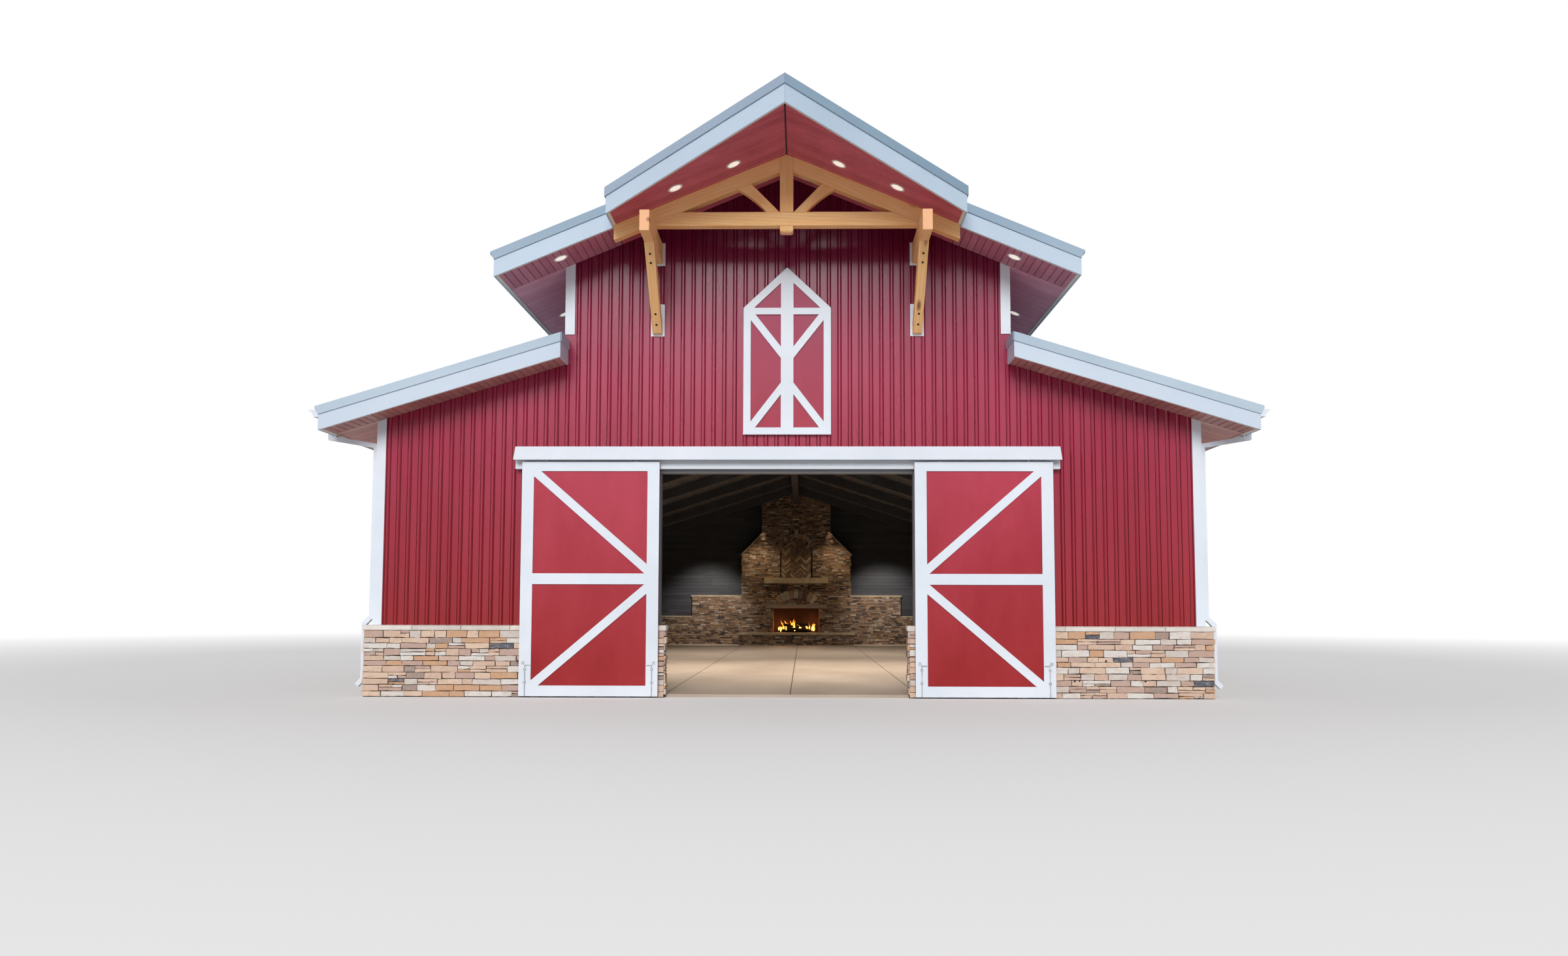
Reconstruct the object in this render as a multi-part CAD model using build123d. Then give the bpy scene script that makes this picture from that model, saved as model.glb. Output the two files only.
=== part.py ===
from build123d import *
import math
import os

# A barn-style pavilion: a tall middle roof between two lower ones, a stone base, and a hall
# with a fireplace. Millimetres, z up. The front looks along -y, and the origin is the middle
# of the plan at ground level. Heights are from the ground, and "reach" is forward of the wall.

# Plan and walls
bay_length = 3658
bay_count = 8
half_width = 7290
upper_half_width = 3960
wall_thickness = 190
lining_thickness = 20
floor_thickness = 50
joint_gap = 2

# Roofs
ridge_height = 9740
upper_slope = 5 / 12
upper_depth = 415
upper_eave_overhang = 1030
lower_roof_height = 6292
lower_slope = 0.305
lower_depth = 391
lower_eave_overhang = 785
upper_rake_overhang = 1040
lower_rake_overhang = 700
lower_roof_lap = 20
soffit_thickness = 15
fascia_thickness = 25
fascia_lip = 15
edge_trim_thickness = 22
edge_trim_height = 150
edge_trim_lip = 10
eave_sheet_thickness = 30
eave_sheet_reach = 65
ridge_cap_width = 170
ridge_cap_thickness = 30

# Canopy over the timber truss
canopy_reach = 3310
canopy_side_reach = 1800
canopy_half_width = 2960

# Stone base and sill
stone_thickness = 110
stone_height = 1160
sill_height = 90
sill_projection = 35
sill_wash = 12

# Corner trims
lower_trim_width = 165
upper_trim_width = 175
upper_trim_lift = 120
trim_thickness = 20

# Doorway
opening_half_width = 2135
opening_height = 3940
jamb_lining_thickness = 20
head_lining_height = 60
lining_reach = 30

# Header board, track and cover
header_half_length = 4800
header_depth = 130
header_top = 4390
track_bottom = 4170
track_width = 62
track_height = 60
track_wall = 4
track_slot = 18
track_bracket_count = 9
track_bracket_width = 60
cover_sheet = 6
cover_shelf_reach = 150
cover_lip_reach = 290
cover_lip_top = 4170
cover_lip_drop = 25

# Sliding doors
door_width = 2420
door_inner_edge = 2235
door_bottom = 25
door_top = 4115
door_back_reach = 160
door_panel_thickness = 40
door_frame_thickness = 22
door_stile = 210
door_top_rail = 165
door_mid_rail = 190
door_mid_height = 2060
door_bottom_rail = 185
door_brace = 150
hanger_inset = 420
hanger_plate = (120, 40, 6)
hanger_strap = (40, 8)
wheel_radius = 20
wheel_width = 12
axle_radius = 5
wheel_clearance = 0.3
bolt_radius = 8
bolt_length = 545
bolt_bottom = 30
bolt_guide = (46, 26)
bolt_guide_heights = (245, 470)
bolt_handle_length = 92
bolt_plate = (56, 6)
bolt_plate_offset = (-30, 25)

# Loft door planted on the gable
loft_half_width = 779
loft_bottom = 4620
loft_shoulder = 6905
loft_apex = 7643
loft_board = 130
loft_stile = 225
loft_rail = 120
loft_brace = 130
loft_brace_meet = 5955
loft_lower_meet = 5595
loft_panel_thickness = 20
loft_trim_thickness = 30
loft_sill_projection = 30
loft_sill_height = 40

# Timber truss on two outriggers with knee braces
truss_reach = 1130
truss_drop = 1680
timber_thickness = 200
top_chord_depth = 240
bottom_chord_depth = 240
king_post_width = 230
pendant_drop = 118
pendant_chamfer = 30
strut_thickness = 150
strut_foot = 225
strut_head = (600, 830)
strut_sag = 30
tail_clearance = 10
outrigger_offset = 2315
outrigger_width = 165
outrigger_depth = 350
outrigger_reach = 2000
brace_drop = 1280
brace_top_reach = 1400
brace_depth = 180
brace_nose = 70
pad_thickness = 25
pad_margin = 40
upper_pad_margins = (32, 37)
lower_pad_margins = (36, 546)

# Gutters and downspouts
gutter_profile = ((0, 130), (0, 0), (90, 0), (112, 60), (165, 102), (165, 130), (152, 130))
gutter_sheet = 4
gutter_drop = 60
pipe_size = (80, 100)
pipe_outlet = 80
pipe_offset = 110
pipe_top_drop = 262
pipe_run_fall = 140
pipe_knee_rise = 150
pipe_shoe_height = 300
pipe_shoe_reach = 110
pipe_clearance = 5
pipe_mouth = 60
pipe_wall = 3

# Hall ceiling
ceiling_height = 6280
ceiling_slope = 0.324
ceiling_thickness = 40
ceiling_beam_width = 140
ceiling_beam_depth = 300
ridge_beam_width = 220
ridge_beam_bottom = 5800

# Fireplace
hearth_width = 4600
hearth_reach = 520
hearth_height = 550
hearth_slab = 95
hearth_nose = 40
chimney_depth = 900
chimney_half_width = 2200
chimney_shoulder = 3690
breast_half_width = 1400
breast_shoulder = 4500
firebox_width = 1860
firebox_height = 980
firebox_depth = 600
niche_half_width = 655
niche_straight_height = 980
niche_depth = 70
mantel_height = 2535
mantel_thickness = 220
mantel_length = 2590
mantel_projection = 200
cap_thickness = 60
cap_nose = 40
log_radius = 75
log_length = 1150
log_nest = 8
log_spacing = 2 * log_radius - log_nest
log_rise = log_spacing * math.sin(math.radians(60))
log_shortening = 225
log_rows = (3, 2)
wing_thickness = 100
wing_high = (4300, 2000)
wing_low_height = 1150
flue_half_width = 650
flue_depth = 820
flue_top = 10700
flue_cap_height = 110
flue_cap_nose = 60
flue_hole = 260

# Soffit lights
light_radius = 130
light_thickness = 8
canopy_light_places = ((880, 1650), (1850, 1650))
rake_light_place = (3960, 600)
eave_light_offset = 540
eave_light_start = 2550

# Places worked out from the sizes above
length = bay_length * bay_count
front = -length / 2
back = length / 2
inner_front = front + wall_thickness
inner_back = back - wall_thickness
room_front = inner_front + lining_thickness
room_back = inner_back - lining_thickness
room_half_width = half_width - wall_thickness - lining_thickness
upper_edge = upper_half_width + upper_eave_overhang
lower_edge = half_width + lower_eave_overhang
lower_inner_edge = upper_half_width - lower_roof_lap
sill_top = stone_height + sill_height
upper_soffit = upper_depth + soffit_thickness
lower_soffit = lower_depth + soffit_thickness
rough_half_width = opening_half_width + stone_thickness
rough_height = opening_height + head_lining_height
breast_front = room_back - chimney_depth
canopy_slant = (canopy_reach - canopy_side_reach) / canopy_half_width
bottom_chord_height = ridge_height - truss_drop
outrigger_bottom = bottom_chord_height - outrigger_depth
brace_foot_height = outrigger_bottom - brace_drop
eave_sheet_edge = fascia_thickness + eave_sheet_reach


def upper_top(x):
    return ridge_height - upper_slope * abs(x)


def lower_top(x):
    return lower_roof_height - lower_slope * (abs(x) - upper_half_width)


def ceiling(x):
    return ceiling_height - ceiling_slope * abs(x)


def along_y(outline, y_from, y_to):
    # An outline of (x, z) points, drawn out from y_from to y_to.
    face = Plane.XZ * Polygon(*outline, align=None)
    return Pos(0, y_from, 0) * extrude(face, amount=y_to - y_from, dir=(0, 1, 0))


def along_x(outline, x_from, x_to):
    # An outline of (y, z) points, drawn out from x_from to x_to.
    face = Plane.YZ * Polygon(*outline, align=None)
    return Pos(x_from, 0, 0) * extrude(face, amount=x_to - x_from, dir=(1, 0, 0))


def along_z(outline, z_from, z_to):
    # An outline of (x, y) points, drawn up from z_from to z_to.
    face = Polygon(*outline, align=None)
    return Pos(0, 0, z_from) * extrude(face, amount=z_to - z_from, dir=(0, 0, 1))


def block(x_span, y_span, z_span):
    size = [high - low for low, high in (x_span, y_span, z_span)]
    middle = [(high + low) / 2 for low, high in (x_span, y_span, z_span)]
    return Pos(*middle) * Box(*size)


def mirrored(piece):
    return mirror(piece, about=Plane.YZ)


def both_sides(pieces):
    return [*pieces, *(mirrored(piece) for piece in pieces)]


def front_and_back(pieces):
    return [*pieces, *(mirror(piece, about=Plane.XZ) for piece in pieces)]


def sloped(plan, top, shallow, deep):
    # The layer of a roof over a plan, from shallow to deep below the roof's top surface.
    xs = [x for x, _ in plan]
    ys = [y for _, y in plan]
    low, high = min(xs), max(xs)
    outline = [
        (low, top(low) - shallow),
        (high, top(high) - shallow),
        (high, top(high) - deep),
        (low, top(low) - deep),
    ]
    z_values = [z for _, z in outline]
    column = along_z(plan, min(z_values) - 1, max(z_values) + 1)
    return along_y(outline, min(ys), max(ys)) & column


def moved_out(before, point, after, distance):
    # A corner of a chain moved to its right, so that both of its edges move by distance.
    normals = []
    for start, end in ((before, point), (point, after)):
        run = math.dist(start, end)
        normals.append(((end[1] - start[1]) / run, (start[0] - end[0]) / run))
    (ax, ay), (bx, by) = normals
    share = distance / (1 + ax * bx + ay * by)
    return (point[0] + share * (ax + bx), point[1] + share * (ay + by))


def offset_chain(chain, distance):
    # The first and last points only give the directions in which the chain starts and ends.
    return [moved_out(*chain[i - 1 : i + 2], distance) for i in range(1, len(chain) - 1)]


def edge_boards(chain, top, near, far, shallow, deep):
    # One mitred board for each edge of a roof's outline, with a small joint at each corner.
    inner = offset_chain(chain, near)
    outer = offset_chain(chain, far)
    boards = []
    for i in range(len(inner) - 1):
        run = math.dist(inner[i], inner[i + 1])
        step = [(b - a) / run * joint_gap / 2 for a, b in zip(inner[i], inner[i + 1])]
        corners = [inner[i], inner[i + 1], outer[i + 1], outer[i]]
        signs = [1, -1, -1, 1]
        plan = [(x + s * step[0], y + s * step[1]) for (x, y), s in zip(corners, signs)]
        boards.append(sloped(plan, top, shallow, deep))
    return boards


def edge_fascias(chain, eave, top, depth):
    # The boards of a roof's edge. The one along the eave, by its number, stays under the sheet.
    deep = depth + fascia_lip + soffit_thickness
    boards = edge_boards(chain, top, 0, fascia_thickness, 0, deep)
    under_sheet = edge_boards(
        chain, top, 0, fascia_thickness, eave_sheet_thickness + joint_gap, deep
    )
    boards[eave] = under_sheet[eave]
    return both_sides(boards)


def rake_trim(x_from, edge, top, overhang):
    # A strip on a rake's fascia. Its end runs out over the eave and is cut back at its foot.
    x_to = edge + fascia_thickness
    x_end = x_to + eave_sheet_reach
    outline = [
        (x_from, top(x_from) + edge_trim_lip),
        (x_end, top(x_end) + edge_trim_lip),
        (x_to, top(x_to) - edge_trim_height),
        (x_from, top(x_from) - edge_trim_height),
    ]
    face = front - overhang - fascia_thickness
    return along_y(outline, face - edge_trim_thickness, face)


def eave_sheet(edge, top, overhang):
    # The roof's sheet where it runs out past the fascia, behind the ends of the rake trims.
    past_board = edge + fascia_thickness + joint_gap
    outside = edge + eave_sheet_edge
    y_board = front - overhang
    y_trim = y_board - fascia_thickness
    plan = [
        (edge, y_board),
        (past_board, y_board),
        (past_board, y_trim),
        (outside, y_trim),
        (outside, -y_trim),
        (past_board, -y_trim),
        (past_board, -y_board),
        (edge, -y_board),
    ]
    return sloped(plan, top, 0, eave_sheet_thickness)


def upper_outline(inner_x):
    # The plan of one upper roof, with the canopy's slanting front edge.
    return [
        (inner_x, front - canopy_reach + inner_x * canopy_slant),
        (canopy_half_width, front - canopy_side_reach),
        (canopy_half_width, front - upper_rake_overhang),
        (upper_edge, front - upper_rake_overhang),
        (upper_edge, back + upper_rake_overhang),
        (inner_x, back + upper_rake_overhang),
    ]


def lower_outline():
    return [
        (lower_inner_edge, front),
        (lower_inner_edge, front - lower_rake_overhang),
        (lower_edge, front - lower_rake_overhang),
        (lower_edge, back + lower_rake_overhang),
        (lower_inner_edge, back + lower_rake_overhang),
        (lower_inner_edge, back),
    ]


def flue_space():
    y_back = room_back - (chimney_depth - flue_depth) / 2
    return block(
        (-flue_half_width, flue_half_width),
        (y_back - flue_depth, y_back),
        (ceiling(flue_half_width), flue_top),
    )


def roofs():
    lower_plan = [
        (upper_half_width, front),
        *lower_outline(),
        (upper_half_width, back),
    ]
    lower = sloped(lower_plan, lower_top, 0, lower_depth)
    lower += eave_sheet(lower_edge, lower_top, lower_rake_overhang)
    upper = sloped(upper_outline(0), upper_top, 0, upper_depth) - flue_space()
    return lower, upper + eave_sheet(upper_edge, upper_top, upper_rake_overhang)


def ridge_cap():
    # A folded strip over the ridge, from the canopy's point to the rear edge.
    plan = [
        (0, front - canopy_reach),
        (ridge_cap_width, front - canopy_reach + ridge_cap_width * canopy_slant),
        (ridge_cap_width, back + upper_rake_overhang),
        (0, back + upper_rake_overhang),
    ]
    side = sloped(plan, upper_top, -ridge_cap_thickness, 0)
    return side + mirrored(side) - flue_space()


def soffits():
    inner_x = joint_gap
    upper_plan = [
        *upper_outline(inner_x),
        (inner_x, back),
        (upper_half_width, back),
        (upper_half_width, front),
        (inner_x, front),
    ]
    lower_plan = [
        *lower_outline(),
        (half_width, back),
        (half_width, front),
    ]
    upper = sloped(upper_plan, upper_top, upper_depth, upper_soffit)
    lower = sloped(lower_plan, lower_top, lower_depth, lower_soffit)
    return both_sides([upper, lower])


def roof_fascias():
    upper_path = upper_outline(0)
    first = (-upper_path[1][0], upper_path[1][1])
    last = (-upper_edge, back + upper_rake_overhang)
    upper = edge_fascias([first, *upper_path, last], 3, upper_top, upper_depth)
    lower_path = lower_outline()
    first = (lower_inner_edge, front + wall_thickness)
    last = (lower_inner_edge, back - wall_thickness)
    lower = edge_fascias([first, *lower_path, last], 2, lower_top, lower_depth)
    return upper, lower


def roof_edge_trims():
    # Along the canopy by its outline, along the rakes, and on the returns to the walls.
    outside = fascia_thickness + edge_trim_thickness
    path = upper_outline(0)
    first = (-path[1][0], path[1][1])
    canopy = edge_boards(
        [first, *path[:5]], upper_top, fascia_thickness, outside, -edge_trim_lip, edge_trim_height
    )[:2]
    start = canopy_half_width + outside + joint_gap
    rear = rake_trim(joint_gap, upper_edge, upper_top, upper_rake_overhang)
    fore = rake_trim(start, upper_edge, upper_top, upper_rake_overhang)
    upper = [*canopy, fore, mirror(rear, about=Plane.XZ)]
    return_x = lower_inner_edge - fascia_thickness
    lower_rake = rake_trim(return_x, lower_edge, lower_top, lower_rake_overhang)
    side = edge_boards(
        [(lower_inner_edge, front + wall_thickness), *lower_outline()[:3]],
        lower_top, fascia_thickness, outside, -edge_trim_lip, edge_trim_height,
    )[0]
    return both_sides(upper), both_sides(front_and_back([lower_rake, side]))


def wall_bottom_step():
    return lower_top(upper_half_width) - lower_depth


def front_walls():
    step = wall_bottom_step()
    eave = lower_top(half_width) - lower_depth
    outline = [
        (rough_half_width, floor_thickness),
        (half_width, floor_thickness),
        (half_width, eave),
        (upper_half_width, step),
        (rough_half_width, step),
    ]
    beside = along_y(outline, front, inner_front)
    over = block((-rough_half_width, rough_half_width), (front, inner_front), (rough_height, step))
    return beside, over


def gable_wall():
    step = wall_bottom_step()
    outline = [
        (-upper_half_width, step),
        (upper_half_width, step),
        (upper_half_width, upper_top(upper_half_width) - upper_depth),
        (0, upper_top(0) - upper_depth),
        (-upper_half_width, upper_top(upper_half_width) - upper_depth),
    ]
    return along_y(outline, front, inner_front)


def back_wall():
    step = wall_bottom_step()
    eave = lower_top(half_width) - lower_depth
    outline = [
        (-half_width, floor_thickness),
        (half_width, floor_thickness),
        (half_width, eave),
        (upper_half_width, step),
        (-upper_half_width, step),
        (-half_width, eave),
    ]
    return along_y(outline, inner_back, back)


def side_wall():
    inside = half_width - wall_thickness
    outline = [
        (inside, floor_thickness),
        (half_width, floor_thickness),
        (half_width, lower_top(half_width) - lower_depth),
        (inside, lower_top(inside) - lower_depth),
    ]
    return along_y(outline, inner_front, inner_back)


def upper_side_wall():
    inside = upper_half_width - wall_thickness
    step = wall_bottom_step()
    outline = [
        (inside, step),
        (upper_half_width, step),
        (upper_half_width, upper_top(upper_half_width) - upper_depth),
        (inside, upper_top(inside) - upper_depth),
    ]
    return along_y(outline, inner_front, inner_back)


def linings():
    # Boarding on the inside of the hall, under the ceiling.
    outside = room_half_width + lining_thickness
    side = along_y(
        [
            (room_half_width, floor_thickness),
            (outside, floor_thickness),
            (outside, ceiling(outside)),
            (room_half_width, ceiling(room_half_width)),
        ],
        room_front,
        room_back,
    )
    corner = room_half_width - joint_gap
    beside_door = along_y(
        [
            (rough_half_width, floor_thickness),
            (corner, floor_thickness),
            (corner, ceiling(corner)),
            (rough_half_width, ceiling(rough_half_width)),
        ],
        inner_front,
        room_front,
    )
    edge = rough_half_width - joint_gap
    over_door = along_y(
        [
            (-edge, rough_height),
            (edge, rough_height),
            (edge, ceiling(edge)),
            (0, ceiling(0)),
            (-edge, ceiling(edge)),
        ],
        inner_front,
        room_front,
    )
    rear = along_y(
        [
            (-corner, floor_thickness),
            (corner, floor_thickness),
            (corner, ceiling(corner)),
            (0, ceiling(0)),
            (-corner, ceiling(corner)),
        ],
        room_back,
        inner_back,
    )
    return [*both_sides([side, beside_door]), over_door, rear]


def ceiling_panels():
    outside = half_width - wall_thickness
    inner = joint_gap / 2
    outline = [
        (inner, ceiling(inner)),
        (outside, ceiling(outside)),
        (outside, ceiling(outside) + ceiling_thickness),
        (inner, ceiling(inner) + ceiling_thickness),
    ]
    return both_sides([along_y(outline, inner_front, inner_back)])


def ceiling_beams():
    half = ridge_beam_width / 2
    ridge = along_y(
        [
            (-half, ridge_beam_bottom),
            (half, ridge_beam_bottom),
            (half, ceiling(half)),
            (0, ceiling(0)),
            (-half, ceiling(half)),
        ],
        room_front,
        breast_front,
    )
    start = half + joint_gap
    outline = [
        (start, ceiling(start)),
        (room_half_width, ceiling(room_half_width)),
        (room_half_width, ceiling(room_half_width) - ceiling_beam_depth),
        (start, ceiling(start) - ceiling_beam_depth),
    ]
    half_beam = ceiling_beam_width / 2
    beams = []
    for bay in range(1, bay_count):
        y = front + bay * bay_length
        beams.append(along_y(outline, y - half_beam, y + half_beam))
    return [ridge, *both_sides(beams)]


def floor_slab():
    return block((-half_width, half_width), (front, back), (0, floor_thickness))


def stone_base():
    # Stone on the four sides, returned into the doorway as its jambs.
    outside = half_width + stone_thickness
    front_plan = [
        (opening_half_width, front - stone_thickness),
        (outside, front - stone_thickness),
        (outside, front),
        (rough_half_width, front),
        (rough_half_width, room_front),
        (opening_half_width, room_front),
    ]
    front_stone = along_z(front_plan, 0, stone_height) - floor_slab()
    side_stone = block(
        (half_width, outside),
        (front + joint_gap, back - joint_gap),
        (0, stone_height),
    )
    back_stone = block((-outside, outside), (back, back + stone_thickness), (0, stone_height))
    return [*both_sides([front_stone, side_stone]), back_stone]


def sill_section(depth):
    # Depth runs from the wall outward, and the top falls a little to shed rain.
    return [
        (0, stone_height),
        (depth, stone_height),
        (depth, sill_top - sill_wash),
        (0, sill_top),
    ]


def sills():
    depth = stone_thickness + sill_projection
    outside = half_width + depth
    jamb_face = opening_half_width - sill_projection
    front_plan = [
        (jamb_face, front - depth),
        (outside, front - depth),
        (outside, front),
        (rough_half_width, front),
        (rough_half_width, room_front),
        (jamb_face, room_front),
    ]
    front_sill = along_z(front_plan, stone_height, sill_top)
    wash = along_x([(front - y, z) for y, z in sill_section(depth)], jamb_face, outside)
    reveal = block((jamb_face, rough_half_width), (front, room_front), (stone_height, sill_top))
    front_sill = front_sill & (wash + reveal)
    side_sill = along_y(
        [(half_width + x, z) for x, z in sill_section(depth)],
        front + joint_gap,
        back - joint_gap,
    )
    back_sill = along_x([(back + y, z) for y, z in sill_section(depth)], -outside, outside)
    return [*both_sides([front_sill, side_sill]), back_sill]


def corner_trim(corner_x, width, bottom, underside):
    # An L-shaped corner board, cut at its top to the slope of the soffit.
    outside = corner_x + trim_thickness
    plan = [
        (corner_x - width + trim_thickness, front - trim_thickness),
        (outside, front - trim_thickness),
        (outside, front + width - trim_thickness),
        (corner_x, front + width - trim_thickness),
        (corner_x, front),
        (corner_x - width + trim_thickness, front),
    ]
    low_x = corner_x - width
    high_x = corner_x + width
    under = along_y(
        [(low_x, bottom), (high_x, bottom), (high_x, underside(high_x)), (low_x, underside(low_x))],
        front - width,
        front + width,
    )
    return along_z(plan, bottom, underside(low_x)) & under


def corner_trims():
    lower = corner_trim(
        half_width, lower_trim_width, sill_top, lambda x: lower_top(x) - lower_soffit
    )
    return_x = lower_inner_edge - fascia_thickness - edge_trim_thickness
    upper_bottom = lower_top(return_x) + upper_trim_lift
    upper = corner_trim(
        upper_half_width, upper_trim_width, upper_bottom, lambda x: upper_top(x) - upper_soffit
    )
    return front_and_back(both_sides([lower, upper]))


def door_header():
    return block(
        (-header_half_length, header_half_length),
        (front - header_depth, front),
        (rough_height, header_top),
    )


def door_linings():
    side = block(
        (rough_half_width - jamb_lining_thickness, rough_half_width),
        (front - lining_reach, room_front),
        (sill_top, opening_height - joint_gap),
    )
    head = block(
        (-rough_half_width, rough_half_width),
        (front - lining_reach, room_front),
        (opening_height, rough_height),
    )
    return [*both_sides([side]), head]


def track_middle():
    return front - door_back_reach - door_panel_thickness / 2


def door_track():
    # A box rail, open along its underside, on brackets from the header board.
    middle = track_middle()
    half = track_width / 2
    top = track_bottom + track_height
    inside = half - track_wall
    ends = (-header_half_length, header_half_length)
    rail = block(ends, (middle - half, middle + half), (track_bottom, top))
    hollow_z = (track_bottom + track_wall, top - track_wall)
    rail -= block(ends, (middle - inside, middle + inside), hollow_z)
    slot_half = track_slot / 2
    rail -= block(ends, (middle - slot_half, middle + slot_half), (track_bottom, hollow_z[0]))
    spacing = (2 * header_half_length - track_bracket_width) / (track_bracket_count - 1)
    for i in range(track_bracket_count):
        x = -header_half_length + i * spacing
        rail += block(
            (x, x + track_bracket_width),
            (middle + half, front - header_depth),
            (track_bottom, top),
        )
    return rail


def track_cover():
    # A bent sheet: a shelf on the header board, a sloping face and a lip.
    line = [
        (front, header_top),
        (front - cover_shelf_reach, header_top),
        (front - cover_lip_reach, cover_lip_top),
        (front - cover_lip_reach, cover_lip_top - cover_lip_drop),
    ]
    before = (front + cover_shelf_reach, header_top)
    after = (front - cover_lip_reach, cover_lip_top - 2 * cover_lip_drop)
    outer = offset_chain([before, *line, after], cover_sheet)
    return along_x([*line, *reversed(outer)], -header_half_length, header_half_length)


def board(start, end, width, y_from, y_to):
    # A straight board between two (x, z) points, as wide as said.
    run = math.dist(start, end)
    side = (width / 2 * (end[1] - start[1]) / run, width / 2 * (start[0] - end[0]) / run)
    corners = [
        (start[0] + side[0], start[1] + side[1]),
        (end[0] + side[0], end[1] + side[1]),
        (end[0] - side[0], end[1] - side[1]),
        (start[0] - side[0], start[1] - side[1]),
    ]
    return along_y(corners, y_from, y_to)


def door_panel():
    y_back = front - door_back_reach
    return block(
        (door_inner_edge, door_inner_edge + door_width),
        (y_back - door_panel_thickness, y_back),
        (door_bottom, door_top),
    )


def door_frame():
    # Stiles, rails and two braces that point at the inner edge.
    inner = door_inner_edge
    outer = door_inner_edge + door_width
    y_back = front - door_back_reach - door_panel_thickness
    y_span = (y_back - door_frame_thickness, y_back)
    z_span = (door_bottom, door_top)
    mid_low = door_mid_height - door_mid_rail / 2
    mid_high = door_mid_height + door_mid_rail / 2
    frame = block((inner, inner + door_stile), y_span, z_span)
    frame += block((outer - door_stile, outer), y_span, z_span)
    frame += block((inner, outer), y_span, (door_top - door_top_rail, door_top))
    frame += block((inner, outer), y_span, (mid_low, mid_high))
    frame += block((inner, outer), y_span, (door_bottom, door_bottom + door_bottom_rail))
    inset = door_brace / 2
    inner_x = inner + door_stile - inset
    outer_x = outer - door_stile + inset
    top_z = door_top - door_top_rail + inset
    bottom_z = door_bottom + door_bottom_rail - inset
    frame += board((outer_x, top_z), (inner_x, mid_high), door_brace, *y_span)
    frame += board((inner_x, mid_low), (outer_x, bottom_z), door_brace, *y_span)
    return frame


def hanger(x):
    # A plate on the door's top, a strap through the slot, and two wheels on one axle.
    middle = track_middle()
    plate_x, plate_y, plate_z = hanger_plate
    strap_x, strap_y = hanger_strap
    axle_z = track_bottom + track_wall + wheel_clearance + wheel_radius
    piece = block(
        (x - plate_x / 2, x + plate_x / 2),
        (middle - plate_y / 2, middle + plate_y / 2),
        (door_top, door_top + plate_z),
    )
    piece += block(
        (x - strap_x / 2, x + strap_x / 2),
        (middle - strap_y / 2, middle + strap_y / 2),
        (door_top, axle_z + axle_radius),
    )
    wheel_offset = track_slot / 2 + wheel_width / 2 + joint_gap
    axle_length = 2 * wheel_offset + wheel_width
    piece += Pos(x, middle, axle_z) * Rot(90, 0, 0) * Cylinder(axle_radius, axle_length)
    for side in (-1, 1):
        place = Pos(x, middle + side * wheel_offset, axle_z)
        piece += place * Rot(90, 0, 0) * Cylinder(wheel_radius, wheel_width)
    return piece


def drop_bolt(x, side):
    # A rod in two guides on the face of a stile, its handle turned to the side of the panel.
    face = front - door_back_reach - door_panel_thickness - door_frame_thickness
    guide_width, guide_depth = bolt_guide
    rod_y = face - guide_depth / 2
    rod_top = bolt_bottom + bolt_length
    piece = Pos(x, rod_y, bolt_bottom + bolt_length / 2) * Cylinder(bolt_radius, bolt_length)
    for height in bolt_guide_heights:
        z = bolt_bottom + height
        piece += block(
            (x - guide_width / 2, x + guide_width / 2),
            (face - guide_depth, face),
            (z - guide_depth / 2, z + guide_depth / 2),
        )
    handle = Rot(0, 90, 0) * Cylinder(bolt_radius, bolt_handle_length)
    handle_z = rod_top - bolt_radius
    return piece + Pos(x + side * bolt_handle_length / 2, rod_y, handle_z) * handle


def bolt_keeper(x, side):
    # A small plate beside the top of the rod, where the handle rests when the bolt is lifted.
    face = front - door_back_reach - door_panel_thickness - door_frame_thickness
    width, thickness = bolt_plate
    offset_x, offset_z = bolt_plate_offset
    middle_x = x + side * offset_x
    middle_z = bolt_bottom + bolt_length + offset_z
    return block(
        (middle_x - width / 2, middle_x + width / 2),
        (face - thickness, face),
        (middle_z - width / 2, middle_z + width / 2),
    )


def door_hardware():
    outer = door_inner_edge + door_width
    pieces = [hanger(x) for x in (door_inner_edge + hanger_inset, outer - hanger_inset)]
    stile_middle = door_stile / 2
    for x, side in ((door_inner_edge + stile_middle, 1), (outer - stile_middle, -1)):
        pieces += [drop_bolt(x, side), bolt_keeper(x, side)]
    return pieces


def loft_outline(inset):
    # The door's outline, drawn in by inset on every edge.
    half = loft_half_width
    points = [
        (-half, loft_bottom),
        (-half, loft_shoulder),
        (0, loft_apex),
        (half, loft_shoulder),
        (half, loft_bottom),
    ]
    ring = [points[-1], *points, points[0]]
    return offset_chain(ring, inset)


def loft_door():
    panel_face = front - loft_panel_thickness
    trim_face = panel_face - loft_trim_thickness
    y_span = (trim_face, panel_face)
    panel = along_y(loft_outline(0), panel_face, front)
    half = loft_half_width - loft_board
    rail_low = loft_shoulder - loft_rail
    outline = along_y(loft_outline(0), *y_span)
    trim = outline - along_y(loft_outline(loft_board), *y_span)
    stile_half = loft_stile / 2
    inside = block((-stile_half, stile_half), y_span, (loft_bottom, loft_apex))
    inside += block((-half, half), y_span, (rail_low, loft_shoulder))
    for side in (-1, 1):
        top = (side * half, rail_low)
        foot = (side * half, loft_bottom + loft_board)
        inside += board(top, (0, loft_brace_meet), loft_brace, *y_span)
        inside += board((0, loft_lower_meet), foot, loft_brace, *y_span)
    trim += inside & outline
    trim += block(
        (-loft_half_width, loft_half_width),
        (trim_face - loft_sill_projection, panel_face),
        (loft_bottom, loft_bottom + loft_sill_height),
    )
    return panel, trim


def truss_span():
    return front - truss_reach, front - truss_reach + timber_thickness


def chord_top(x):
    return upper_top(x) - upper_soffit


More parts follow.
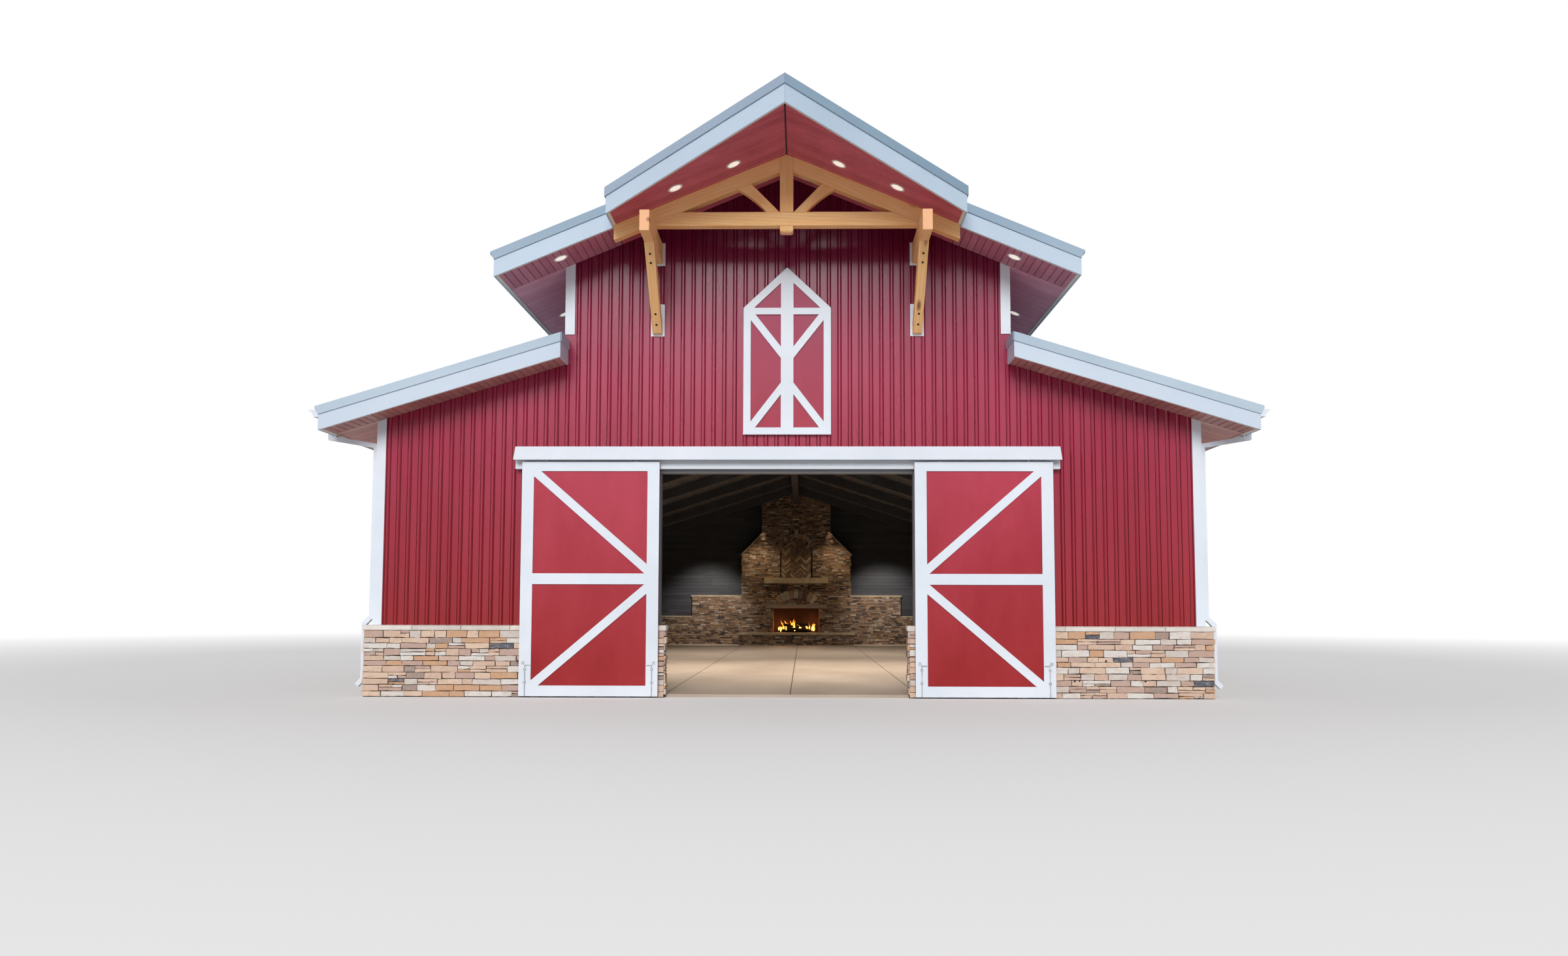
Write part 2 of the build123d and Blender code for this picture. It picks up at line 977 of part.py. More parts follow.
def chord_bottom(x):
    plumb_depth = top_chord_depth / math.cos(math.atan(upper_slope))
    return chord_top(x) - plumb_depth


def outrigger():
    half = outrigger_width / 2
    return block(
        (outrigger_offset - half, outrigger_offset + half),
        (front - outrigger_reach, front - pad_thickness),
        (outrigger_bottom, bottom_chord_height),
    )


def top_chord():
    start = king_post_width / 2
    end = canopy_half_width - tail_clearance
    outline = [
        (start, chord_top(start)),
        (end, chord_top(end)),
        (end, chord_bottom(end)),
        (start, chord_bottom(start)),
    ]
    return along_y(outline, *truss_span()) - outrigger()


def bottom_chord():
    # Its ends run out under the top chords, and the king post laps it at the back.
    low = bottom_chord_height
    high = low + bottom_chord_depth
    reach_low = (chord_bottom(0) - low) / upper_slope
    reach_high = (chord_bottom(0) - high) / upper_slope
    outline = [(-reach_low, low), (reach_low, low), (reach_high, high), (-reach_high, high)]
    y_front, y_back = truss_span()
    half = king_post_width / 2
    lap = block((-half, half), ((y_front + y_back) / 2, y_back), (low, high))
    return along_y(outline, y_front, y_back) - lap


def king_post():
    half = king_post_width / 2
    low = bottom_chord_height - pendant_drop
    outline = [
        (-half + pendant_chamfer, low),
        (half - pendant_chamfer, low),
        (half, low + pendant_chamfer),
        (half, chord_top(half)),
        (0, chord_top(0)),
        (-half, chord_top(half)),
        (-half, low + pendant_chamfer),
    ]
    y_front, y_back = truss_span()
    high = bottom_chord_height + bottom_chord_depth
    lap = block((-half, half), (y_front, (y_front + y_back) / 2), (bottom_chord_height, high))
    side_outline = [
        (y_front + pendant_chamfer, low),
        (y_back - pendant_chamfer, low),
        (y_back, low + pendant_chamfer),
        (y_back, chord_top(0)),
        (y_front, chord_top(0)),
        (y_front, low + pendant_chamfer),
    ]
    post = along_y(outline, y_front, y_back) & along_x(side_outline, -half, half)
    return post - lap


def strut():
    # A strut from the foot of the king post, with an arched underside.
    high = bottom_chord_height + bottom_chord_depth
    start = king_post_width / 2
    near, far = strut_head
    foot_in = (start, high)
    foot_out = (start + strut_foot, high)
    head_in = (near, chord_bottom(near))
    head_out = (far, chord_bottom(far))
    run = math.dist(foot_out, head_out)
    rise = (head_out[0] - foot_out[0]) / run
    lean = (head_out[1] - foot_out[1]) / run
    middle = [(a + b) / 2 for a, b in zip(foot_out, head_out)]
    arched = (middle[0] - strut_sag * lean, middle[1] + strut_sag * rise)
    edges = [
        Line(foot_in, foot_out),
        ThreePointArc(foot_out, arched, head_out),
        Line(head_out, head_in),
        Line(head_in, foot_in),
    ]
    face = Plane.XZ * make_face(edges)
    y_front, y_back = truss_span()
    inset = (timber_thickness - strut_thickness) / 2
    solid = extrude(face, amount=strut_thickness, dir=(0, 1, 0))
    return Pos(0, y_front + inset, 0) * solid


def knee_brace():
    # A straight brace from the wall pad up to the outrigger, with its toe cut level.
    half = outrigger_width / 2
    high = outrigger_bottom
    wall = front - pad_thickness
    rise = high - brace_foot_height
    toe = pad_thickness + brace_nose
    run = brace_top_reach - toe
    lean = math.hypot(rise, run)
    outline = [
        (front - brace_top_reach, high),
        (front - brace_top_reach + brace_depth * lean / rise, high),
        (wall, brace_foot_height + (brace_depth * lean - brace_nose * rise) / run),
        (wall, brace_foot_height),
        (front - toe, brace_foot_height),
    ]
    return along_x(outline, outrigger_offset - half, outrigger_offset + half)


def wall_pads():
    half = outrigger_width / 2 + pad_margin
    x_span = (outrigger_offset - half, outrigger_offset + half)
    y_span = (front - pad_thickness, front)
    below, above = upper_pad_margins
    upper = block(x_span, y_span, (outrigger_bottom - below, bottom_chord_height + above))
    below, above = lower_pad_margins
    lower = block(x_span, y_span, (brace_foot_height - below, brace_foot_height + above))
    return both_sides([upper, lower])


def gutter_place():
    outside = lower_edge + fascia_thickness
    return outside, lower_top(outside) - gutter_drop - gutter_profile[0][1]


def gutter():
    x, z = gutter_place()
    line = [(x + u, z + v) for u, v in gutter_profile]
    before = (line[0][0], line[0][1] + 1)
    after = (line[-1][0] - 1, line[-1][1])
    inner = offset_chain([before, *line, after], -gutter_sheet)
    ends = (front - lower_rake_overhang, back + lower_rake_overhang)
    trough = along_y([*line, *reversed(inner)], *ends)
    caps = along_y(line, ends[0], ends[0] + gutter_sheet)
    caps += along_y(line, ends[1] - gutter_sheet, ends[1])
    return trough + caps


def downspout():
    # From the gutter back to the wall, down, out over the sill, and a shoe at the ground.
    depth, width = pipe_size
    x, z = gutter_place()
    start = x + pipe_outlet
    wall_x = half_width + trim_thickness + pipe_clearance + depth / 2
    stone_x = half_width + stone_thickness + sill_projection + pipe_clearance + depth / 2
    knee_z = sill_top + pipe_knee_rise
    path = [
        (start, z),
        (start, z - pipe_top_drop),
        (wall_x, z - pipe_top_drop - pipe_run_fall),
        (wall_x, knee_z),
        (stone_x, knee_z - (stone_x - wall_x)),
        (stone_x, pipe_shoe_height),
        (stone_x + pipe_shoe_reach, pipe_shoe_height - pipe_shoe_reach),
    ]
    y = front + pipe_offset
    wire = Polyline(*[(px, y, pz) for px, pz in path])
    section = Plane((start, y, z), x_dir=(1, 0, 0), z_dir=(0, 0, -1)) * Rectangle(depth, width)
    pipe = sweep(section, path=wire, transition=Transition.RIGHT)
    end_x, end_z = path[-1]
    mouth = Plane((end_x, y, end_z), x_dir=(1, 0, 1), z_dir=(1, 0, -1))
    hole = Rectangle(depth - 2 * pipe_wall, width - 2 * pipe_wall)
    return pipe - extrude(mouth * hole, amount=-pipe_mouth)


def soffit_light(x, y):
    # A flat round light on the underside of the soffit.
    angle = math.degrees(math.atan(upper_slope))
    disc = Pos(0, 0, -light_thickness / 2) * Cylinder(light_radius, light_thickness)
    return Pos(x, y, chord_top(x)) * Rot(0, angle, 0) * disc


def soffit_lights():
    places = [(x, front - reach) for x, reach in (*canopy_light_places, rake_light_place)]
    for bay in range(bay_count):
        y = front + eave_light_start + bay * bay_length
        places.append((upper_half_width + eave_light_offset, y))
    return both_sides([soffit_light(x, y) for x, y in places])


def fireplace_body():
    # The chimney breast with its shoulders, firebox, arched niche and raised hearth.
    outline = [
        (-chimney_half_width, floor_thickness),
        (chimney_half_width, floor_thickness),
        (chimney_half_width, chimney_shoulder),
        (breast_half_width, breast_shoulder),
        (breast_half_width, ceiling(breast_half_width)),
        (0, ceiling(0)),
        (-breast_half_width, ceiling(breast_half_width)),
        (-breast_half_width, breast_shoulder),
        (-chimney_half_width, chimney_shoulder),
    ]
    body = along_y(outline, breast_front, room_back)
    hearth_y = (breast_front - hearth_reach, breast_front)
    base_top = hearth_height - hearth_slab
    body += block((-hearth_width / 2, hearth_width / 2), hearth_y, (floor_thickness, base_top))
    body -= block(
        (-firebox_width / 2, firebox_width / 2),
        (breast_front, breast_front + firebox_depth),
        (hearth_height, hearth_height + firebox_height),
    )
    niche_bottom = mantel_height + mantel_thickness
    spring = niche_bottom + niche_straight_height
    recess = (breast_front, breast_front + niche_depth)
    body -= block((-niche_half_width, niche_half_width), recess, (niche_bottom, spring))
    arch = Cylinder(niche_half_width, niche_depth)
    body -= Pos(0, breast_front + niche_depth / 2, spring) * Rot(90, 0, 0) * arch
    return body


def pale_caps():
    # The hearth slab, the mantel shelf, the sloping shoulder caps and the wainscot caps.
    slab_half = hearth_width / 2 + hearth_nose
    slab = block(
        (-slab_half, slab_half),
        (breast_front - hearth_reach - hearth_nose, breast_front),
        (hearth_height - hearth_slab, hearth_height),
    )
    mantel = block(
        (-mantel_length / 2, mantel_length / 2),
        (breast_front - mantel_projection, breast_front),
        (mantel_height, mantel_height + mantel_thickness),
    )
    foot = (chimney_half_width, chimney_shoulder)
    head = (breast_half_width, breast_shoulder)
    run = math.dist(foot, head)
    along = ((foot[0] - head[0]) / run, (foot[1] - head[1]) / run)
    out = (-along[1], along[0])
    nose = (foot[0] + along[0] * cap_nose, foot[1] + along[1] * cap_nose)
    shoulder = along_y(
        [
            head,
            nose,
            (nose[0] + out[0] * cap_thickness, nose[1] + out[1] * cap_thickness),
            (head[0], head[1] + cap_thickness / out[1]),
        ],
        breast_front - cap_nose,
        room_back,
    )
    high_x, high_z = wing_high
    wing_y = (room_back - wing_thickness - cap_nose, room_back)
    start = chimney_half_width + joint_gap
    high = block((start, high_x + cap_nose), wing_y, (high_z, high_z + cap_thickness))
    low = block(
        (high_x + joint_gap, room_half_width),
        wing_y,
        (wing_low_height, wing_low_height + cap_thickness),
    )
    return [slab, mantel, *both_sides([shoulder, high, low])]


def wing_stones():
    # Stone beside the fireplace, in two heights.
    high_x, high_z = wing_high
    y_span = (room_back - wing_thickness, room_back)
    start = chimney_half_width + joint_gap
    high = block((start, high_x), y_span, (floor_thickness, high_z))
    low = block((high_x + joint_gap, room_half_width), y_span, (floor_thickness, wing_low_height))
    return both_sides([high, low])


def fire_logs():
    # A small stack of logs on the firebox floor, each row shorter than the one below.
    middle = breast_front + firebox_depth / 2
    low = hearth_height + log_radius
    logs = []
    for row, count in enumerate(log_rows):
        log = Rot(0, 90, 0) * Cylinder(log_radius, log_length - row * log_shortening)
        for i in range(count):
            y = middle + (i - (count - 1) / 2) * log_spacing
            logs.append(Pos(0, y, low + row * log_rise) * log)
    pile = logs[0]
    for log in logs[1:]:
        pile += log
    return pile


def chimney():
    shaft = flue_space()
    box = shaft.bounding_box()
    cap = block(
        (box.min.X - flue_cap_nose, box.max.X + flue_cap_nose),
        (box.min.Y - flue_cap_nose, box.max.Y + flue_cap_nose),
        (flue_top, flue_top + flue_cap_height),
    )
    hole_y = (box.min.Y + box.max.Y) / 2
    hole = Pos(0, hole_y, flue_top) * Box(2 * flue_hole, flue_hole, 4 * flue_cap_height)
    above_ceiling = along_y(
        [
            (-flue_half_width, ceiling(flue_half_width) + ceiling_thickness),
            (0, ceiling(0) + ceiling_thickness),
            (flue_half_width, ceiling(flue_half_width) + ceiling_thickness),
            (flue_half_width, flue_top),
            (-flue_half_width, flue_top),
        ],
        box.min.Y,
        box.max.Y,
    )
    return above_ceiling + cap - hole


def write(name, *pieces):
    solids = [solid for piece in pieces for solid in piece.solids()]
    shape = solids[0] if len(solids) == 1 else Compound(solids)
    shape.label = name
    export_step(shape, f"parts/{name}.step")


def main():
    os.makedirs("parts", exist_ok=True)
    beside_door, over_door = front_walls()
    gable = gable_wall()
    lower, upper = roofs()
    upper_fascias, lower_fascias = roof_fascias()
    upper_edge_trims, lower_edge_trims = roof_edge_trims()
    loft_panel, loft_trim = loft_door()

    write("floor_slab", floor_slab())
    write("front_wall_right", beside_door)
    write("front_wall_left", mirrored(beside_door))
    write("front_wall_over_door", over_door)
    write("front_gable", gable)
    write("back_wall", back_wall())
    write("back_gable", mirror(gable, about=Plane.XZ))
    write("right_wall", side_wall())
    write("left_wall", mirrored(side_wall()))
    write("upper_side_walls", *both_sides([upper_side_wall()]))
    write("wall_linings", *linings())
    write("ceiling_panels", *ceiling_panels())
    write("ceiling_beams", *ceiling_beams())
    write("stone_base", *stone_base())
    write("stone_sills", *sills())
    write("corner_trims", *corner_trims())
    write("lower_roof_right", lower)
    write("lower_roof_left", mirrored(lower))
    write("upper_roof_right", upper)
    write("upper_roof_left", mirrored(upper))
    write("ridge_cap", ridge_cap())
    write("soffits", *soffits())
    write("upper_fascias", *upper_fascias)
    write("lower_fascias", *lower_fascias)
    write("upper_edge_trims", *upper_edge_trims)
    write("lower_edge_trims", *lower_edge_trims)
    write("gutters", *both_sides([gutter()]))
    write("downspouts", *front_and_back(both_sides([downspout()])))
    write("soffit_lights", *soffit_lights())
    write("truss_top_chords", *both_sides([top_chord()]))
    write("truss_bottom_chord", bottom_chord())
    write("truss_king_post", king_post())
    write("truss_struts", *both_sides([strut()]))
    write("outriggers", *both_sides([outrigger()]))
    write("knee_braces", *both_sides([knee_brace()]))
    write("wall_pads", *wall_pads())
    write("loft_door_panel", loft_panel)
    write("loft_door_trim", loft_trim)
    write("door_header", door_header())
    write("door_linings", *door_linings())
    write("door_track", door_track())
    write("track_cover", track_cover())
    write("fireplace_body", fireplace_body())
    write("pale_caps", *pale_caps())
    write("wing_stones", *wing_stones())
    write("fire_logs", fire_logs())
    write("chimney", chimney())
    write("right_door_panel", door_panel())
    write("right_door_frame", door_frame())
    write("right_door_hardware", *door_hardware())
    write("left_door_panel", mirrored(door_panel()))
    write("left_door_frame", mirrored(door_frame()))
    write("left_door_hardware", *[mirrored(piece) for piece in door_hardware()])


main()
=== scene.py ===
import math
import random

import bmesh
import bpy
from mathutils import Matrix, Vector


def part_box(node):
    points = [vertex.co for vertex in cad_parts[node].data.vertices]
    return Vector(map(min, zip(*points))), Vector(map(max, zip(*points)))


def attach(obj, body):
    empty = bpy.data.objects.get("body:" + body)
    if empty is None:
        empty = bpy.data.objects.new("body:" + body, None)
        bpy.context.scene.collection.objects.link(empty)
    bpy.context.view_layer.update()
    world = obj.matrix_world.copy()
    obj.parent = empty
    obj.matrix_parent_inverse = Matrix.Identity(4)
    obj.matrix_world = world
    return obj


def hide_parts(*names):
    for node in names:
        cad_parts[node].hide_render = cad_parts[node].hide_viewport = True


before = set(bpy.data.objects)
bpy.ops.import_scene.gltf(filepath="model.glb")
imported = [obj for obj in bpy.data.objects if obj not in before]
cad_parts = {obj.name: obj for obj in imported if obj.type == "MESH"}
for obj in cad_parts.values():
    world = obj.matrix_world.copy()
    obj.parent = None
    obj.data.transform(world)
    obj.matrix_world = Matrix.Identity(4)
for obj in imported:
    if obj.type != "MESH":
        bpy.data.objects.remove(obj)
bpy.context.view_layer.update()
scene = bpy.context.scene
print("frame loaded")


class Settings(dict):
    # A settings dictionary whose values also read as settings.name
    __getattr__ = dict.__getitem__


# Small helpers for materials

def tone(red, green, blue):
    # A screen colour (0 to 255) as the shader's linear colour
    return tuple((c / 255 / 12.92 if c < 10.3 else ((c / 255 + 0.055) / 1.055) ** 2.4)
                 for c in (red, green, blue)) + (1.0,)


def newMaterial(name):
    material = bpy.data.materials.new(name)
    material.use_nodes = True
    return material, material.node_tree, material.node_tree.nodes["Principled BSDF"]


def feed(tree, node, inputs):
    # Links or sets the inputs of a node
    for key, value in inputs.items():
        if isinstance(value, bpy.types.NodeSocket):
            tree.links.new(value, node.inputs[key])
        else:
            node.inputs[key].default_value = value


def addNode(tree, kind, inputs=None, **settings):
    node = tree.nodes.new("ShaderNode" + kind)
    for key, value in settings.items():
        setattr(node, key, value)
    feed(tree, node, inputs or {})
    return node


def patternSpace(tree, stretch=(1, 1, 1), attribute=None):
    if attribute:
        source = addNode(tree, "Attribute", attribute_name=attribute).outputs["Vector"]
    else:
        source = addNode(tree, "TexCoord").outputs["Object"]
    return addNode(tree, "Mapping", {"Vector": source, "Scale": stretch}).outputs["Vector"]


def noiseOf(tree, space, scale, detail=4, roughness=0.55, distortion=0.0):
    return addNode(tree, "TexNoise", {
        "Vector": space, "Scale": scale, "Detail": detail, "Roughness": roughness,
        "Distortion": distortion}).outputs["Fac"]


def rampOf(tree, factor, stops, interpolation="LINEAR"):
    ramp = addNode(tree, "ValToRGB", {"Fac": factor})
    elements = ramp.color_ramp.elements
    ramp.color_ramp.interpolation = interpolation
    while len(elements) < len(stops):
        elements.new(0.5)
    for element, (place, colour) in zip(elements, stops):
        element.position = place
        element.color = tone(*colour)
    return ramp.outputs["Color"]


def levels(tree, value, low, high, toLow=0.0, toHigh=1.0):
    return addNode(tree, "MapRange", {
        "Value": value, "From Min": low, "From Max": high, "To Min": toLow,
        "To Max": toHigh}).outputs["Result"]


def blendColours(tree, factor, first, second, kind="MIX"):
    return addNode(tree, "Mix", {0: factor, 6: first, 7: second}, data_type="RGBA",
                   blend_type=kind).outputs[2]


def mathOf(tree, operation, first, second):
    return addNode(tree, "Math", {0: first, 1: second}, operation=operation).outputs[0]


def bumpInto(tree, shader, height, strength, distance):
    bump = addNode(tree, "Bump", {"Height": height, "Strength": strength, "Distance": distance})
    feed(tree, shader, {"Normal": bump.outputs["Normal"]})


def heightOf(tree):
    place = addNode(tree, "TexCoord").outputs["Object"]
    return addNode(tree, "SeparateXYZ", {0: place}).outputs["Z"]


def pieceTone(tree):
    return addNode(tree, "Attribute", attribute_name="pieceTone").outputs["Fac"]


def coat(name, darker, lighter, roughness, patchScale, grain, metallic=0.0, stretch=(1, 1, 1),
         toned=False, specular=0.5, paintedLightByHeight=()):
    # Paint, sheet metal or cast surface: soft patches of two close tones, and a fine grain in
    # relief; the further pairs of tones each take over between two heights, and stand for
    # painted sheen and painted shade
    material, tree, shader = newMaterial(name)
    space = patternSpace(tree, stretch)
    patches = noiseOf(tree, space, patchScale, 5, 0.6)
    factor = levels(tree, patches, 0.3, 0.7)
    if toned:
        factor = levels(tree, mathOf(tree, "ADD", factor, pieceTone(tree)), 0.3, 1.7)
    colour = rampOf(tree, factor, [(0, darker), (1, lighter)])
    for low, high, *pair in paintedLightByHeight:
        upper = rampOf(tree, factor, list(enumerate(pair)))
        colour = blendColours(tree, levels(tree, heightOf(tree), low, high), colour, upper)
    feed(tree, shader, {
        "Base Color": colour, "Metallic": metallic, "Specular IOR Level": specular,
        "Roughness": levels(tree, patches, 0.25, 0.75, *roughness)})
    scale, strength, depth = grain
    bumpInto(tree, shader, noiseOf(tree, space, scale, 6, 0.6), strength, depth)
    return material


# Finishes: two tones, range of roughness, scale of the patches, and the grain's scale,
# strength and depth

# The siding turns pinker and bluer from 1.2 to 5.8 m, a painted sheen of the sky, and darker from
# 5.6 to 8.2 m, painted shade under the canopy
sidingRed = coat(
    "siding_red", (140, 28, 33), (154, 38, 43), (0.22, 0.32), 0.9, (240, 0.03, 0.002),
    stretch=(1, 1, 0.25), specular=0.32,
    paintedLightByHeight=[(1.2, 5.8, (152, 33, 66), (168, 47, 82)), (5.6, 8.2, (98, 12, 48), (112, 20, 60))])
# A dark red for the flat strips beside each siding rib: painted shade along the sheets' laps
ribShadeRed = coat(
    "rib_painted_shade", (66, 8, 16), (84, 14, 26), (0.6, 0.8), 0.9, (240, 0.03, 0.002), specular=0.15)
# The doors' paint turns pinker from 0.6 to 3.8 m, a painted sheen of the sky, and the loft door's
# darker and bluer from 4.0 to 6.5 m, painted shade under the canopy
panelRed = coat(
    "panel_red", (146, 26, 30), (160, 36, 40), (0.28, 0.42), 1.6, (160, 0.05, 0.002),
    stretch=(1, 1, 0.4), specular=0.28,
    paintedLightByHeight=[(0.6, 3.8, (164, 38, 58), (180, 52, 74)), (4.0, 6.5, (140, 24, 62), (154, 34, 74))])
# Soffits: lit and shaded copies of one red board paint, painted light and shade: the canopy's,
# then the upper and lower eaves', then the lower and upper rakes'
soffitLitCopies = [
    coat(name, darker, lighter, roughness, 2.4, (90, 0.08, 0.003), toned=True)
    for name, darker, lighter, roughness in (
        ("board_red", (182, 78, 92), (210, 100, 112), (0.4, 0.6)),
        ("eave_board", (226, 148, 166), (246, 176, 192), (0.35, 0.55)),
        ("low_board", (208, 150, 140), (234, 178, 166), (0.35, 0.55)),
        ("rake_board", (164, 112, 108), (188, 134, 126), (0.35, 0.55)),
        ("gable_board", (186, 110, 128), (210, 132, 148), (0.35, 0.55)))]
trimWhite = coat(
    "trim_white", (214, 221, 228), (226, 232, 239), (0.45, 0.6), 0.7, (150, 0.04, 0.002),
    specular=0.3)
# From 5.6 to 8.6 m the fascias turn a little greyer: painted shade
fasciaWhite = coat(
    "fascia_white", (194, 206, 219), (206, 217, 229), (0.5, 0.65), 0.45, (120, 0.04, 0.002),
    specular=0.25, paintedLightByHeight=[(5.6, 8.6, (179, 197, 212), (191, 208, 223))])
# From 5.6 to 8.2 m the roof metal turns darker: painted shade on the upper trims and sheets
roofMetal = coat(
    "roof_metal", (170, 187, 201), (184, 200, 212), (0.45, 0.6), 0.5, (200, 0.03, 0.002),
    specular=0.4, paintedLightByHeight=[(5.6, 8.2, (130, 153, 172), (145, 167, 185))])
liningGrey = coat(
    "lining_grey", (92, 94, 98), (114, 116, 121), (0.4, 0.6), 1.1, (120, 0.05, 0.002))
channelPale = coat(
    "channel_pale", (228, 226, 210), (240, 238, 224), (0.4, 0.6), 2.0, (120, 0.05, 0.002))
hearthPale = coat(
    "hearth_pale", (166, 148, 122), (202, 184, 154), (0.75, 0.92), 3.0, (40, 0.6, 0.01),
    specular=0.3)
darkBoard = coat(
    "dark_board", (40, 38, 38), (66, 63, 62), (0.5, 0.75), 1.3, (60, 0.25, 0.004),
    stretch=(1, 1, 5), toned=True)
wallBoard = coat(
    "wall_board", (46, 48, 54), (68, 70, 76), (0.5, 0.75), 1.3, (60, 0.25, 0.004),
    stretch=(1, 1, 5), toned=True)
darkBeam = coat("dark_beam", (38, 41, 46), (56, 59, 66), (0.55, 0.8), 2.0, (70, 0.3, 0.004))
floorConcrete = coat(
    "floor_concrete", (168, 148, 130), (192, 174, 156), (0.5, 0.75), 0.35, (45, 0.12, 0.003),
    stretch=(1, 0.6, 1))
floorJoint = coat("floor_joint", (62, 50, 40), (84, 70, 58), (0.7, 0.9), 2.0, (45, 0.2, 0.003))
paleStone = coat(
    "pale_stone", (200, 192, 182), (226, 219, 210), (0.75, 0.92), 3.5, (55, 0.4, 0.006), toned=True,
    specular=0.3)
galvanised = coat(
    "galvanised", (150, 156, 160), (186, 190, 194), (0.3, 0.5), 14, (220, 0.1, 0.001), metallic=0.9)
lampPlate = coat(
    "lamp_plate", (226, 222, 214), (240, 236, 228), (0.3, 0.45), 5, (80, 0.04, 0.001))
burntLog = coat("burnt_log", (20, 17, 15), (62, 48, 38), (0.8, 0.95), 9, (40, 0.9, 0.02))
sootBrick = coat("soot_brick", (30, 24, 22), (66, 44, 36), (0.85, 0.98), 5, (60, 0.4, 0.004))
stoneJoint = coat(
    "stone_joint", (34, 30, 28), (54, 48, 44), (0.85, 0.98), 6, (60, 0.5, 0.006), specular=0.2)
plugWood = coat("plug_wood", (46, 28, 20), (70, 44, 30), (0.6, 0.8), 20, (60, 0.3, 0.002))


def ledgeMaterial(name, stops, bumpDepth):
    # Each stone has its own tone from its attribute, with veins, patches and a chipped face
    material, tree, shader = newMaterial(name)
    colour = rampOf(tree, pieceTone(tree), stops, "CONSTANT")
    space = patternSpace(tree, (1, 1, 2.2))
    patches = noiseOf(tree, space, 7.5, 6, 0.68, 0.6)
    stains = levels(tree, patches, 0.48, 0.75, 0.0, 0.6)
    colour = blendColours(tree, stains, colour, tone(206, 160, 122))
    greys = levels(tree, noiseOf(tree, space, 13, 5, 0.7), 0.5, 0.78, 0, 0.5)
    colour = blendColours(tree, greys, colour, tone(216, 208, 198))
    specks = levels(tree, noiseOf(tree, space, 60, 4, 0.75), 0.3, 0.7, 0.8, 1.1)
    feed(tree, shader, {
        "Base Color": blendColours(tree, 1.0, colour, specks, "MULTIPLY"),
        "Roughness": levels(tree, patches, 0.2, 0.8, 0.7, 0.95), "Specular IOR Level": 0.25})
    chips = mathOf(tree, "ADD", noiseOf(tree, space, 22, 8, 0.7), noiseOf(tree, space, 90, 4, 0.6))
    bumpInto(tree, shader, chips, 0.8, bumpDepth)
    return material


ledgeStone = ledgeMaterial("ledge_stone", [
    (0.0, (92, 98, 110)), (0.018, (172, 152, 142)), (0.07, (204, 174, 160)),
    (0.24, (224, 194, 172)), (0.44, (234, 206, 182)), (0.62, (216, 172, 136)),
    (0.72, (222, 212, 202)), (0.84, (236, 230, 222))], 0.012)
hallStone = ledgeMaterial("hall_stone", [
    (0.0, (70, 62, 60)), (0.14, (118, 98, 86)), (0.32, (150, 124, 104)), (0.52, (172, 142, 114)),
    (0.70, (140, 110, 86)), (0.82, (166, 154, 140)), (0.93, (200, 184, 164))], 0.010)
hearthBrick = ledgeMaterial("hearth_brick", [
    (0.0, (110, 90, 72)), (0.35, (138, 112, 88)), (0.7, (164, 138, 110)),
    (0.85, (196, 172, 140))], 0.003)


def timberMaterial(name, early, late, knot, scale):
    # Fir with its grain along the member, knots, fine drying checks and each member's tone,
    # which for the bottom chord is painted light
    material, tree, shader = newMaterial(name)

    def grain(*stretch):
        return patternSpace(tree, stretch, "grain")

    along = grain(0.5, 7, 7)
    lines = addNode(tree, "TexWave", {
        "Vector": along, "Scale": 1.1 * scale, "Distortion": 6.5, "Detail": 4,
        "Detail Scale": 1.4, "Detail Roughness": 0.6},
        wave_type="BANDS", bands_direction="DIAGONAL").outputs["Fac"]
    streaks = noiseOf(tree, grain(0.9, 26, 26), 2.0, 6, 0.7)
    mixed = mathOf(
        tree, "ADD", levels(tree, lines, 0, 1, 0, 0.45), levels(tree, streaks, 0.3, 0.7, 0, 0.55))
    colour = rampOf(tree, mixed, [(0.1, early), (0.95, late)])
    warp = levels(tree, noiseOf(tree, along, 1.2 * scale, 4, 0.6), 0.3, 0.7, 0, 0.5)
    colour = blendColours(tree, warp, colour, tone(246, 188, 118))
    spots = addNode(tree, "TexVoronoi", {"Vector": grain(0.85, 2.6, 2.6), "Scale": 1.2},
                    feature="F1").outputs["Distance"]
    colour = blendColours(tree, levels(tree, spots, 0.07, 0.16, 0.85, 0.0), colour, tone(*knot))
    checks = levels(tree, noiseOf(tree, grain(0.7, 30, 30), 1.6, 3, 0.5), 0.70, 0.76, 0, 0.65)
    colour = blendColours(tree, checks, colour, tone(96, 60, 34))
    shade = rampOf(tree, pieceTone(tree), [(0, (206, 184, 176)), (1, (255, 255, 255))])
    feed(tree, shader, {
        "Base Color": blendColours(tree, 1.0, colour, shade, "MULTIPLY"),
        "Roughness": levels(tree, streaks, 0.2, 0.8, 0.5, 0.7), "Specular IOR Level": 0.35})
    bumpInto(tree, shader, streaks, 0.2, 0.002)
    return material


firTimber = timberMaterial("fir_timber", (255, 218, 158), (246, 184, 116), (112, 62, 34), 1.0)
firEnd = timberMaterial("fir_end", (250, 200, 160), (234, 166, 124), (168, 106, 72), 2.2)


def glowMaterial(name, base, glow, strength):
    material, tree, shader = newMaterial(name)
    feed(tree, shader, {"Base Color": tone(*base), "Roughness": 0.4,
                        "Emission Color": tone(*glow), "Emission Strength": strength})
    return material


lampLens = glowMaterial("lamp_lens", (236, 232, 222), (255, 246, 232), 0.6)
hallLamp = glowMaterial("hall_lamp", (240, 236, 226), (255, 244, 222), 1.6)


